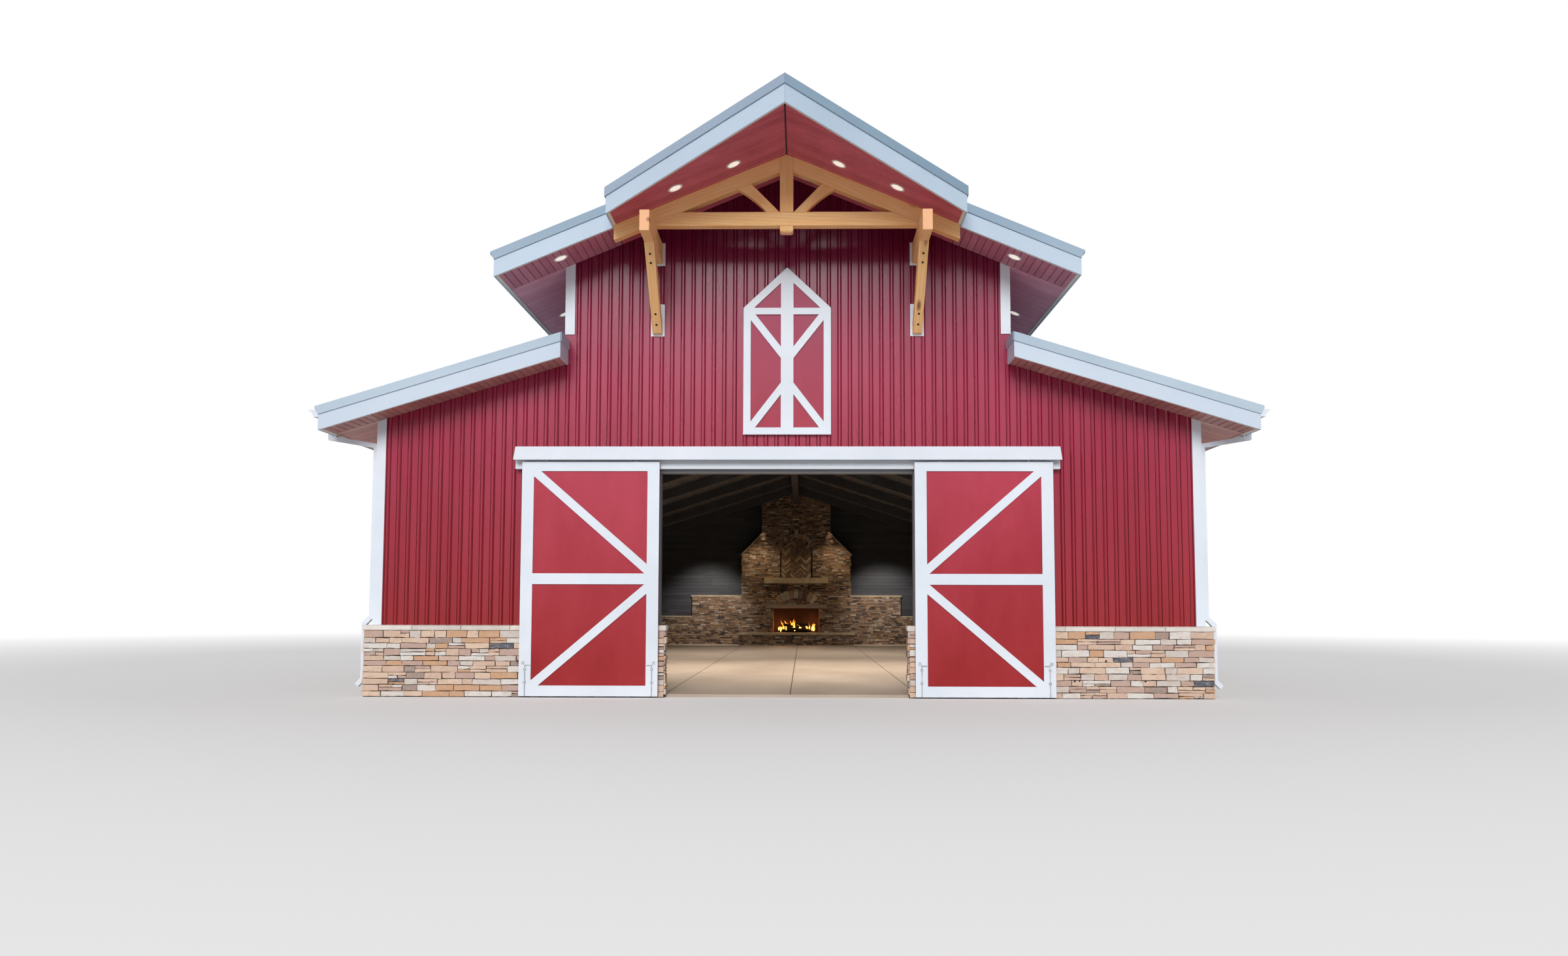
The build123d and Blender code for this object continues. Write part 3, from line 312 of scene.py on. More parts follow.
def flameMaterial():
    material, tree, shader = newMaterial("fire_flame")
    wobble = mathOf(tree, "ADD", heightOf(tree), noiseOf(tree, patternSpace(tree), 9, 3))
    colour = rampOf(tree, levels(tree, wobble, 1.05, 1.75),
                    [(0, (255, 214, 120)), (0.45, (255, 150, 40)), (1, (200, 60, 14))])
    feed(tree, shader, {"Base Color": tone(60, 20, 5), "Roughness": 0.9,
                        "Emission Color": colour, "Emission Strength": 3.2})
    return material


fireFlame = flameMaterial()
print("finishes made")


# Mesh helpers: pieces are drawn flat as (across, up, out) and then stood on their surface

def frameAt(origin, outward, up=(0, 0, 1)):
    outward, up = Vector(outward).normalized(), Vector(up).normalized()
    matrix = Matrix((up.cross(outward), up, outward)).transposed().to_4x4()
    matrix.translation = Vector(origin)
    return matrix


def onEnd(y, way):
    # The surface of a wall across the building, which looks along Y
    return frameAt((0, y, 0), (0, way, 0))


def onSide(x, way):
    return frameAt((x, 0, 0), (way, 0, 0))


def rectangle(left, right, bottom, top):
    return [(left, bottom), (right, bottom), (right, top), (left, top)]


def startMesh():
    bm = bmesh.new()
    bm.verts.layers.float.new("pieceTone")
    bm.verts.layers.float.new("faceSide")
    return bm


def addPrism(bm, corners, low, high, ownTone=0.5):
    # A four-cornered plate: corners are (across, up), anticlockwise from the lower left
    toneLayer = bm.verts.layers.float["pieceTone"]
    sideLayer = bm.verts.layers.float["faceSide"]
    verts = bmesh.ops.create_cube(bm, size=2)["verts"]
    order = {(False, False): 0, (True, False): 1, (True, True): 2, (False, True): 3}
    for vert in verts:
        across, up = corners[order[(vert.co.x > 0, vert.co.y > 0)]]
        isFront = vert.co.z > 0
        vert.co = (across, up, high if isFront else low)
        vert[toneLayer] = ownTone
        vert[sideLayer] = float(isFront)
    return verts


def bevelEdges(bm, edges, width, segments=1):
    bmesh.ops.bevel(bm, geom=edges, offset=width, offset_type="OFFSET", affect="EDGES",
                    segments=segments, profile=0.5, material=-1, clamp_overlap=True)


def bevelFront(bm, width):
    side = bm.verts.layers.float["faceSide"]
    bevelEdges(bm, [e for e in bm.edges if all(v[side] > 0.99 for v in e.verts)
                    and any(any(v[side] < 0.99 for v in f.verts) for f in e.link_faces)], width)


def linked(name, data):
    made = bpy.data.objects.new(name, data)
    scene.collection.objects.link(made)
    return made


def newObject(name, bm):
    mesh = bpy.data.meshes.new(name)
    bm.to_mesh(mesh)
    bm.free()
    return linked(name, mesh), mesh


def stand(target, bm, matrix):
    # Adds a flat-drawn mesh to a piece, standing on its surface
    bm.transform(matrix)
    held = bpy.data.meshes.new("held")
    bm.to_mesh(held)
    bm.free()
    target.from_mesh(held)
    bpy.data.meshes.remove(held)


def finishPiece(name, bm, materials, slotName, body="building", replaced=(), smooth=False):
    piece, mesh = newObject(name, bm)
    side = mesh.attributes.get("faceSide")
    if side:
        mesh.attributes.remove(side)
    for polygon in mesh.polygons:
        polygon.use_smooth = smooth
    for material in materials:
        mesh.materials.append(material)
    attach(piece, body)
    if replaced:
        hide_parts(*replaced)


def easedCopy(node, width):
    # A CAD node's mesh, merged and cleaned to its flat faces, with its sharp edges rounded
    bm = bmesh.new()
    bm.from_mesh(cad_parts[node].data)
    bmesh.ops.remove_doubles(bm, verts=bm.verts, dist=0.0002)
    bmesh.ops.dissolve_limit(bm, angle_limit=math.radians(1.0), verts=bm.verts, edges=bm.edges)
    bevelEdges(bm, [e for e in bm.edges if len(e.link_faces) == 2
                    and e.calc_face_angle(0) > math.radians(25)], width, 2)
    return bm


def mirrorPiece(bm):
    made = bmesh.ops.duplicate(bm, geom=bm.verts[:] + bm.edges[:] + bm.faces[:])["geom"]
    bmesh.ops.scale(
        bm, verts=[g for g in made if isinstance(g, bmesh.types.BMVert)], vec=(-1, 1, 1))
    bmesh.ops.reverse_faces(bm, faces=[g for g in made if isinstance(g, bmesh.types.BMFace)])


def ends(way, first, second):
    # Two places along a side wall as left and right, seen from that wall's outside
    return tuple(sorted((way * first, way * second)))


# Places read from the CAD model, and the roof's own lines

base = {name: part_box(name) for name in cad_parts}
side = {"right": 1, "left": -1}
ways = tuple(side.values())
front = base["front_wall_right"][0].y
back = base["back_wall"][1].y
halfWidth = base["front_wall_right"][1].x
upperHalf = base["upper_side_walls"][1].x
sillTop = base["stone_sills"][1].z
openingHalf = 2.135
frameHalf = openingHalf + 0.11
roomFront = base["wall_linings"][0].y + 0.02
roomBack = base["wall_linings"][1].y - 0.02
roomHalf = base["wing_stones"][1].x
floorTop = base["floor_slab"][1].z
roof = Settings(
    ridge=9.74, upperSlope=5 / 12, upperEdge=4.99, upperDepth=0.415, upperRake=1.04,
    lowerHeight=6.292, lowerSlope=0.305, lowerEdge=8.075, lowerDepth=0.391, lowerInner=3.94,
    lowerRake=0.70, soffit=0.015, canopyReach=3.31, canopySide=1.80, canopyHalf=2.96,
    returnInset=0.047, returnTop=0.015)
canopyTip = front - roof.canopyReach


def upperTop(x):
    return roof.ridge - roof.upperSlope * abs(x)


def lowerTop(x):
    return roof.lowerHeight - roof.lowerSlope * (abs(x) - upperHalf)


def canopyEdge(y):
    # How far out the canopy reaches at a place along it
    slant = (roof.canopyReach - roof.canopySide) / roof.canopyHalf
    return min(roof.canopyHalf, max(0.0, (y - canopyTip) / slant))


# Camera, light and stage

view = Settings(
    place=(0.291, -36.117, 1.573), pitch=4.416, turn=0.913, roll=0.114, lens=28.005, shift=0.0223,
    sensor=36, reach=400)
cameraData = bpy.data.cameras.new("camera")
cameraData.sensor_width = view.sensor
cameraData.lens = view.lens
cameraData.shift_y = view.shift
cameraData.clip_end = view.reach
camera = linked("camera", cameraData)
camera.matrix_world = (Matrix.Translation(view.place)
                       @ Matrix.Rotation(math.radians(view.turn), 4, "Z")
                       @ Matrix.Rotation(math.radians(90 + view.pitch), 4, "X")
                       @ Matrix.Rotation(math.radians(view.roll), 4, "Z"))
scene.camera = camera
scene.view_settings.view_transform = "Standard"

studio = Settings(
    sky=(0.84, 0.90, 1.0, 1), skyStrength=0.42, sun=2.3, sunTurn=(62, 0, -4), sunSpread=28,
    glint=2.1, glintTurn=(76, 0, -67), glintSpread=20, sunColour=(1.0, 1.0, 1.0),
    glintColour=(1.0, 0.70, 0.78), floor=(224, 221, 217), floorBounce=(212, 208, 204),
    floorSize=160, fade=(19, 46), haze=0.22)


def raySeen(tree, *kinds):
    path = addNode(tree, "LightPath").outputs
    seen = path[kinds[0]]
    for kind in kinds[1:]:
        seen = mathOf(tree, "MAXIMUM", seen, path[kind])
    return seen


def buildStudio():
    world = bpy.data.worlds.new("studio")
    scene.world = world
    world.use_nodes = True
    tree = world.node_tree
    tree.nodes.clear()
    seen = raySeen(tree, "Is Camera Ray", "Is Glossy Ray", "Is Transmission Ray")
    glow = addNode(tree, "Background", {"Color": studio.sky, "Strength": studio.skyStrength})
    plain = addNode(tree, "Background", {"Color": (1, 1, 1, 1), "Strength": 1.0})
    mixed = addNode(tree, "MixShader", {0: seen, 1: glow.outputs[0], 2: plain.outputs[0]})
    addNode(tree, "OutputWorld", {"Surface": mixed.outputs[0]})

    # A broad light from the front, and a low one that only shows as glints on the ribs
    for kind in ("sun", "glint"):
        sunData = bpy.data.lights.new("soft_" + kind, "SUN")
        sunData.energy = studio[kind]
        sunData.angle = math.radians(studio[kind + "Spread"])
        sunData.color = studio[kind + "Colour"]
        sun = linked("soft_" + kind, sunData)
        sun.rotation_euler = [math.radians(a) for a in studio[kind + "Turn"]]
        sun.visible_diffuse = kind == "sun"

    # The floor keeps the building's shadow and fades to the white background further out
    bm = bmesh.new()
    bmesh.ops.create_grid(bm, x_segments=1, y_segments=1, size=studio.floorSize)
    floor, mesh = newObject("studio_floor", bm)
    material, tree, shader = newMaterial("studio_floor")
    spot = addNode(tree, "TexCoord").outputs["Object"]
    reach = addNode(tree, "VectorMath", {0: spot}, operation="LENGTH").outputs["Value"]
    seen = raySeen(tree, "Is Camera Ray", "Is Glossy Ray")
    tint = blendColours(tree, seen, tone(*studio.floorBounce), tone(*studio.floor))
    feed(tree, shader, {"Base Color": tint, "Roughness": 0.85, "Specular IOR Level": 0.1})
    share = mathOf(tree, "MULTIPLY", levels(tree, reach, *studio.fade, studio.haze), seen)
    white = addNode(tree, "Emission", {"Color": (1, 1, 1, 1), "Strength": 1.0})
    mixed = addNode(tree, "MixShader", {0: share, 1: shader.outputs[0], 2: white.outputs[0]})
    feed(tree, tree.nodes["Material Output"], {"Surface": mixed.outputs[0]})
    mesh.materials.append(material)


def addLamps(name, place, energy, colour, size, aim=None, angle=60):
    # On both sides of the hall: spot lights where there is an aim, else bare lamps
    for sideName, way in side.items():
        data = bpy.data.lights.new(name.format(sideName), "SPOT" if aim else "POINT")
        data.energy = energy
        data.color = colour
        data.shadow_soft_size = size
        lamp = linked(data.name, data)
        lamp.location = (way * place[0], *place[1:])
        if aim:
            data.spot_size = math.radians(angle)
            data.spot_blend = 0.8
            line = Vector((way * aim[0], *aim[1:])) - lamp.location
            lamp.rotation_euler = line.to_track_quat("-Z", "Y").to_euler()


buildStudio()
print("camera and studio ready")


# CAD nodes that keep their shape get a finish

plainFinishes = (
    (sidingRed, "front_wall_right front_wall_left front_wall_over_door front_gable back_wall "
                "back_gable right_wall left_wall upper_side_walls"),
    (darkBoard, "wall_linings ceiling_panels"), (floorConcrete, "floor_slab"),
    (stoneJoint, "stone_base wing_stones fireplace_body chimney"),
    (roofMetal, "lower_roof_right lower_roof_left upper_roof_right upper_roof_left ridge_cap"),
    (galvanised, "door_track right_door_hardware left_door_hardware"),
    (panelRed, "right_door_panel left_door_panel"), (soffitLitCopies[0], "soffits"),
    (trimWhite, "gutters downspouts"), (burntLog, "fire_logs"), (lampPlate, "soffit_lights"))
for material, nodes in plainFinishes:
    for node in nodes.split():
        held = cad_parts[node]
        held.data.materials.clear()
        held.data.materials.append(material)

# These get rounded edges too: finish, slot, width of the rounding, nodes
easedNodes = (
    (darkBeam, "dark_boards", 0.008, "ceiling_beams"),
    (trimWhite, "white_trim", 0.004, "corner_trims wall_pads loft_door_trim right_door_frame "
                                     "left_door_frame"),
    (fasciaWhite, "white_trim", 0.004, "upper_fascias lower_fascias"),
    (roofMetal, "roof_metal", 0.004, "upper_edge_trims lower_edge_trims"),
    (trimWhite, "white_trim", 0.006, "door_header"),
    (liningGrey, "dark_boards", 0.003, "door_linings"),
    (trimWhite, "white_trim", 0.0015, "track_cover"),
    (panelRed, "red_panel", 0.003, "loft_door_panel"),
    (hearthPale, "pale_stone", 0.012, "pale_caps"))
doorFrames = {"right_door_frame": "right_door", "left_door_frame": "left_door"}
for material, slotName, width, nodes in easedNodes:
    for node in nodes.split():
        finishPiece(node + "_eased", easedCopy(node, width), [material], slotName,
                    doorFrames.get(node, "building"), [node])
print("CAD nodes finished")


# Ribbed siding on every wall

siding = Settings(
    pitch=0.1866, phase=-7.092, foot=0.060, face=0.024, height=0.023, lowerTrim=0.145,
    upperTrim=0.155, gap=0.004, seam=0.010, lap=0.001)
loft = Settings(half=0.779, bottom=4.62, shoulder=6.905, apex=7.643)


def ribCentres(low, high):
    margin = siding.foot / 2 + siding.gap
    first = math.ceil((low + margin - siding.phase) / siding.pitch)
    last = math.floor((high - margin - siding.phase) / siding.pitch)
    return [siding.phase + i * siding.pitch for i in range(first, last + 1)]


def addRib(bm, centre, bottomAt, topAt, height=None):
    # A folded strip drawn at its foot and pulled up to its top; on walls a flat strip lies on
    # each side of it, painted dark as shade along the sheets' laps
    foot, face, lap = siding.foot / 2, siding.face / 2, siding.lap
    rise = height or siding.height
    profile = [(-foot, lap), (-face, rise), (face, rise), (foot, lap)]
    if not height:
        profile = [(-foot - siding.seam, lap), *profile, (foot + siding.seam, lap)]
    verts = [bm.verts.new((centre + u, bottomAt(centre + u), d)) for u, d in profile]
    edges = [bm.edges.new(pair) for pair in zip(verts, verts[1:])]
    made = bmesh.ops.extrude_edge_only(bm, edges=edges)["geom"]
    for item in made:
        if isinstance(item, bmesh.types.BMVert):
            item.co.y = topAt(item.co.x)
    faces = [f for f in made if isinstance(f, bmesh.types.BMFace)]
    for f in faces:
        f.normal_update()
        # the flat strips beside the rib take the second finish, painted shade
        f.material_index = int(abs(f.calc_center_median().x - centre) > foot)
    turned = [f for f in faces if f.normal.z < 0]
    if turned:
        bmesh.ops.reverse_faces(bm, faces=turned)


def gableTop(x):
    inner = roof.lowerInner - roof.returnInset
    if abs(x) > inner:
        return lowerTop(x) - roof.lowerDepth - roof.soffit
    if abs(x) > upperHalf - siding.upperTrim:
        return lowerTop(inner) + roof.returnTop
    return upperTop(x) - roof.upperDepth - roof.soffit


def endWallRibs(name, y, way):
    bm, ribs = startMesh(), startMesh()
    isFront = way < 0
    edge = halfWidth - siding.lowerTrim
    for centre in ribCentres(-edge, edge):
        overDoor = isFront and abs(centre) < frameHalf
        low = base["door_header"][1].z if overDoor else sillTop
        level = gableTop(centre)
        slope = (level - gableTop(centre - 0.001)) * 1000
        top = lambda x: level + slope * (x - centre)
        if isFront and abs(centre) < loft.half:
            rise = (loft.apex - loft.shoulder) / loft.half
            addRib(bm, centre, lambda x: low, lambda x: loft.bottom)
            addRib(bm, centre, lambda x: loft.apex - rise * abs(x) - 0.01, top)
        else:
            addRib(bm, centre, lambda x: low, top)
    stand(ribs, bm, onEnd(y, way))
    finishPiece(name, ribs, [sidingRed, ribShadeRed], "red_siding")


def buildSiding():
    endWallRibs("front_siding_ribs", front, -1)
    endWallRibs("back_siding_ribs", back, 1)
    tiers = ((halfWidth, siding.lowerTrim, sillTop, lowerTop(halfWidth) - roof.lowerDepth),
             (upperHalf, siding.upperTrim, roof.lowerHeight, upperTop(upperHalf) - roof.upperDepth))
    for name, way in side.items():
        ribs = startMesh()
        for x, trim, low, under in tiers:
            bm = startMesh()
            for centre in ribCentres(front + trim, back - trim):
                addRib(bm, centre, lambda u: low, lambda u: under - roof.soffit)
            stand(ribs, bm, onSide(way * x, way))
        finishPiece(name + "_siding_ribs", ribs, [sidingRed, ribShadeRed], "red_siding")


buildSiding()
print("siding ribs placed")


# Roof sheets: ribs that run down each slope

roofRib = Settings(height=0.03, cap=0.16, back=0.14, inset=0.05, lap=0.03, tip=0.35, end=0.01,
                   gap=0.02)


def slopeRibs(name, slope, peak, spans):
    # spans: (from y, to y, near x, far x as a function of y)
    lean = math.hypot(1, slope)
    bm, ribs = startMesh(), startMesh()
    for low, high, nearX, farX in spans:
        for centre in ribCentres(low, high):
            addRib(bm, centre, lambda u: -farX(u) * lean, lambda u: -nearX * lean,
                   roofRib.height)
    stand(ribs, bm, frameAt((0, 0, peak), (slope, 0, 1), (-1, 0, slope)))
    mirrorPiece(ribs)
    finishPiece(name, ribs, [roofMetal], "roof_metal")


def buildRoofRibs():
    inset = roofRib.inset
    rake = front - roof.upperRake + roofRib.lap
    slopeRibs("upper_roof_ribs", roof.upperSlope, roof.ridge, (
        (rake, back + roof.upperRake - inset, roofRib.cap, lambda y: roof.upperEdge - inset),
        (canopyTip + roofRib.tip, rake, roofRib.cap, lambda y: canopyEdge(y) - roofRib.back)))
    far = lambda y: roof.lowerEdge - inset
    slopeRibs("lower_roof_ribs", roof.lowerSlope, roof.lowerHeight + roof.lowerSlope * upperHalf, (
        (front + roofRib.end, back - roofRib.end, upperHalf + roofRib.lap, far),
        (front - roof.lowerRake + inset, front - roofRib.gap, roof.lowerInner, far),
        (back + roofRib.gap, back + roof.lowerRake - inset, roof.lowerInner, far)))


buildRoofRibs()
print("roof sheets ribbed")


# Soffit boards

soffit = Settings(
    board=0.12, gap=0.008, bevel=0.007, middle=0.012, tip=0.05, channel=0.042, lip=0.012,
    backing=0.002, overlap=0.001)
# Each roof's line, depth, wall, inner ends of its front and rear rakes, edge and overhang, and
# the lit copies of the board paint for its eaves and rakes, painted light
linings = (
    (upperTop, roof.upperDepth, upperHalf, roof.canopyHalf, 0.004, roof.upperEdge,
     roof.upperRake, 1, 4),
    (lowerTop, roof.lowerDepth, halfWidth, roof.lowerInner, roof.lowerInner, roof.lowerEdge,
     roof.lowerRake, 2, 3))


def addSoffitBoard(bm, corners, topAt, depth, ownTone=0.5, span=None, litCopy=0):
    # A plate under a roof, drawn in plan; span is how far its two faces lie below the roof, and the
    # last argument picks its lit copy of the board paint, painted light
    shallow, deep = span or (soffit.backing, roof.soffit)
    verts = addPrism(bm, corners, 0, 1, ownTone)
    for face in {face for vert in verts for face in vert.link_faces}:
        face.material_index = litCopy
    for vert in verts:
        isDeep = vert.co.z < 0.5
        vert[bm.verts.layers.float["faceSide"]] = float(isDeep)
        vert.co.z = topAt(vert.co.x) - depth - (deep if isDeep else shallow)


def strips(low, high, size, gap):
    # A length shared out into strips of about one size, with gaps between them
    count = max(1, round((high - low) / size))
    step = (high - low) / count
    return [(low + i * step + gap / 2, low + (i + 1) * step - gap / 2) for i in range(count)]


def buildSoffits():
    rng = random.Random(11)
    bm = startMesh()
    board, gap, inner = soffit.board, soffit.gap, soffit.middle
    for topAt, depth, wall, start, rearStart, edge, rake, eaveLitCopy, rakeLitCopy in linings:
        for x, y0, y1 in ((start, front - rake, front - gap), (rearStart, back + gap, back + rake)):
            for x0, x1 in strips(x, edge, board, gap):
                addSoffitBoard(
                    bm, rectangle(x0, x1, y0, y1), topAt, depth, rng.random(), litCopy=rakeLitCopy)
        for y0, y1 in strips(front, back, board, gap):
            addSoffitBoard(
                bm, rectangle(wall, edge, y0, y1), topAt, depth, rng.random(), litCopy=eaveLitCopy)
    for y0, y1 in strips(canopyTip + soffit.tip, front - gap, board, gap):
        addSoffitBoard(bm, [(inner, y0), (canopyEdge(y0) - gap, y0), (canopyEdge(y1) - gap, y1),
                            (inner, y1)], upperTop, roof.upperDepth, rng.random())
    bevelFront(bm, soffit.bevel)
    mirrorPiece(bm)
    finishPiece("soffit_boards", bm, soffitLitCopies, "red_boards", replaced=["soffits"])


def buildSoffitShadeSheet():
    # A dark sheet behind the boards, painted shade in the gaps between them, and a pale channel
    # where they meet the fascias
    sheet, channel = startMesh(), startMesh()
    w, half, corner = soffit.channel, roof.canopyHalf, front - roof.canopySide
    flat = (0.0, soffit.backing)
    under = (roof.soffit - soffit.overlap, roof.soffit + soffit.lip)
    for topAt, depth, wall, inner, rearInner, edge, rake, *_ in linings:
        rakeFront, rakeBack = front - rake, back + rake
        for bm, span, *sides in (
                (sheet, flat, inner, edge, rakeFront, front),
                (sheet, flat, rearInner, edge, back, rakeBack),
                (sheet, flat, wall, edge, front, back),
                (channel, under, inner, edge - w, rakeFront, rakeFront + w),
                (channel, under, rearInner, edge - w, rakeBack - w, rakeBack),
                (channel, under, edge - w, edge, rakeFront, rakeBack)):
            addSoffitBoard(bm, rectangle(*sides), topAt, depth, span=span)
    for bm, span, corners in (
            (sheet, flat, [(0.0, canopyTip), (half, corner), (half, front), (0.0, front)]),
            (channel, under, [(0.0, canopyTip), (half, corner), (half, corner + w),
                              (0.0, canopyTip + w * 1.15)]),
            (channel, under, rectangle(half - w, half, corner + w, front - roof.upperRake))):
        addSoffitBoard(bm, corners, upperTop, roof.upperDepth, span=span)
    mirrorPiece(sheet)
    mirrorPiece(channel)
    finishPiece("soffit_shade_sheet", sheet, [darkBeam], "dark_boards")
    finishPiece("soffit_channels", channel, [channelPale], "white_trim")


buildSoffits()
buildSoffitShadeSheet()
print("soffits boarded")


# Ledge stones

ledge = Settings(
    course=(0.084, 0.128), length=(0.16, 0.50), least=0.02, shortest=0.12, tall=0.095, long=0.3,
    lean=0.005, sunk=0.004, joint=0.010, proud=(0.006, 0.034), split=0.20, jitter=0.006,
    bevel=0.008, foot=0.009, corner=0.012, doorEdge=0.002, sideEnd=0.008, jambEnd=0.01,
    floorGap=0.004)


def layBlock(rng, bm, left, run, low, high, fine):
    # One stone, or two rows of thinner ones in its place
    joint = ledge.joint / 2
    rows = [(low, high)]
    if high - low > ledge.tall * fine and rng.random() < ledge.split:
        middle = low + (high - low) * rng.uniform(0.4, 0.6)
        rows = [(low, middle), (middle, high)]
    for bottom, top in rows:
        cuts = [left, left + run]
        if len(rows) == 2 and run > ledge.long and rng.random() < 0.5:
            cuts.insert(1, left + run * rng.uniform(0.35, 0.65))
        for a, b in zip(cuts, cuts[1:]):
            block = rectangle(a + joint, b - joint, bottom + joint, top - joint)
            corners = [(x, y + rng.uniform(-ledge.lean, ledge.lean)) for x, y in block]
            addPrism(bm, corners, -ledge.sunk, rng.uniform(*ledge.proud) * fine ** 0.5,
                     rng.random())


def layStones(rng, bm, bottom, top, spansAt, fine):
    # Fills the spans that a surface has at each course with stones of uneven length
    count = round((top - bottom) / (sum(ledge.course) / 2 * fine))
    weights = [rng.uniform(*ledge.course) for _ in range(count)]
    scale = (top - bottom) / sum(weights)
    high = bottom
    for weight in weights:
        low, high = high, high + weight * scale
        for left, right in spansAt((low + high) / 2):
            while right - left > ledge.least:
                run = rng.uniform(*ledge.length) * fine
                if right - left - run < ledge.shortest * fine:
                    run = right - left
                layBlock(rng, bm, left, run, low, high, fine)
                left += run


def roughen(rng, bm, cuts, shift=ledge.jitter, chip=ledge.bevel):
    # Cuts the long edges, shifts the face a little and chips its rim
    side = bm.verts.layers.float["faceSide"]
    long = [e for e in bm.edges if abs(e.verts[0].co.x - e.verts[1].co.x) > 0.1
            and abs(e.verts[0].co.z - e.verts[1].co.z) < 0.001]
    bmesh.ops.subdivide_edges(bm, edges=long, cuts=cuts, use_grid_fill=True)
    for vert in bm.verts:
        if vert[side] > 0.99:
            x, y, z = (rng.uniform(-shift, shift) for _ in range(3))
            vert.co += Vector((x, y * 0.7, z))
    bevelFront(bm, chip)


def stoneWall(target, seed, matrix, bottom, top, spansAt, cuts=2, fine=1.0):
    # fine is the size of the stones, as a share of the ones outdoors
    rng = random.Random(seed)
    bm = startMesh()
    layStones(rng, bm, bottom, top, spansAt, fine)
    roughen(rng, bm, cuts, ledge.jitter * fine, ledge.bevel * fine)
    stand(target, bm, matrix)


def buildBaseStones():
    outside = base["stone_base"][1].x
    face = outside - halfWidth
    low, high = ledge.foot, base["stone_base"][1].z
    reach, jamb = outside + ledge.corner, openingHalf + ledge.doorEdge
    run = (front - face - ledge.sideEnd, back + face + ledge.sideEnd)
    stones = startMesh()
    stoneWall(stones, 3, onEnd(front - face, -1), low, high,
              lambda z: [(-reach, -jamb), (jamb, reach)], 3)
    for way in ways:
        stoneWall(stones, 5 + way, onSide(way * openingHalf, -way), floorTop + ledge.floorGap, high,
                  lambda z: [ends(-way, front - face - ledge.jambEnd, roomFront)], 1)
    finishPiece("front_ledge_stones", stones, [ledgeStone], "ledge_stone")
    for name, seed, matrix, span in (("right", 22, onSide(outside, 1), run),
                                     ("left", 20, onSide(-outside, -1), run),
                                     ("back", 31, onEnd(back + face, 1), (-reach, reach))):
        stones = startMesh()
        stoneWall(stones, seed, matrix, low, high, lambda z: [span])
        finishPiece(name + "_ledge_stones", stones, [ledgeStone], "ledge_stone")


buildBaseStones()
print("base stones laid")


# Sill blocks on the stone base

sill = Settings(
    block=0.86, joint=0.006, wash=0.012, bevel=0.009, shift=0.0018, jamb=0.145, reveal=0.035)


def laySill(target, rng, matrix, span, depth, wash=sill.wash):
    # A row of blocks whose top slopes down to the front by the wash
    bm = startMesh()
    for left, right in strips(*span, sill.block, sill.joint):
        block = rectangle(left, right, base["stone_sills"][0].z, sillTop)
        for vert in addPrism(bm, block, 0.0, depth, rng.random()):
            if vert.co.z > depth / 2 and vert.co.y > sillTop - 0.001:
                vert.co.y -= wash
    roughen(rng, bm, 4, sill.shift, sill.bevel)
    stand(target, bm, matrix)


def buildSills():
    rng = random.Random(41)
    blocks = startMesh()
    outside = base["stone_sills"][1].x
    depth = outside - halfWidth
    jamb = openingHalf - sill.reveal + sill.jamb
    for way in ways:
        laySill(blocks, rng, onEnd(front, -1), ends(way, jamb, outside), depth)
        laySill(blocks, rng, onSide(way * jamb, -way), ends(-way, front - depth, roomFront),
                sill.jamb, 0.0)
        laySill(blocks, rng, onSide(way * halfWidth, way), ends(way, front, back), depth)
    laySill(blocks, rng, onEnd(back, 1), (-outside, outside), depth)
    finishPiece("sill_blocks", blocks, [paleStone], "pale_stone", replaced=["stone_sills"])


buildSills()
print("sills laid")


# Timber truss, outriggers and braces

# tones: each member's tone, set member by member; the bottom chord's full tone is painted light
# against the canopy's shade
timber = Settings(bevel=0.010, plug=0.023, plugDepth=0.005, plugShares=(0.13, 0.225, 0.78, 0.90),
                  braceX=2.315, topReach=1.40, padReach=0.095,
                  tones={"truss_top_chords": 0.95, "truss_bottom_chord": 1.0,
                         "truss_king_post": 0.8, "truss_struts": 0.9, "outriggers": 0.95,
                         "knee_braces": 0.95})


def membersOf(bm):
    # The separate members of a mesh, each as its list of vertices
    seen = set()
    for first in bm.verts:
        if first in seen:
            continue
        group, waiting = [], [first]
        seen.add(first)
        while waiting:
            vert = waiting.pop()
            group.append(vert)
            for edge in vert.link_edges:
                other = edge.other_vert(vert)
                if other not in seen:
                    seen.add(other)
                    waiting.append(other)
        yield group


def grainAlong(bm, rng, ownTone):
    # Each member's own grain runs along its longest edge, and its cut ends show end grain
    grainLayer = bm.verts.layers.float_vector.new("grain")
    toneLayer = bm.verts.layers.float.new("pieceTone")
    bm.normal_update()
    for group in membersOf(bm):
        longest = max((e for v in group for e in v.link_edges), key=lambda e: e.calc_length())
        along = (longest.verts[1].co - longest.verts[0].co).normalized()
        if max(along, key=abs) < 0:
            along.negate()
        across = along.orthogonal().normalized()
        third = along.cross(across)
        shift = rng.uniform(0, 30)
        memberTone = ownTone + rng.uniform(-0.12, 0.12)
        for vert in group:
            vert[toneLayer] = memberTone
            vert[grainLayer] = (vert.co.dot(along) + shift, vert.co.dot(across),
                                vert.co.dot(third))
            for face in vert.link_faces:
                face.material_index = int(abs(face.normal.dot(along)) > 0.8)


def addDisc(target, place, outward, radius, depth, seat=0.0, up=(0, 1, 0), segments=32,
            taper=0.72):
    bm = startMesh()
    bmesh.ops.create_cone(
        bm, cap_ends=True, segments=segments, radius1=radius, radius2=radius * taper, depth=depth)
    bmesh.ops.translate(bm, verts=bm.verts, vec=(0, 0, seat + depth / 2))
    stand(target, bm, frameAt(place, outward, up))


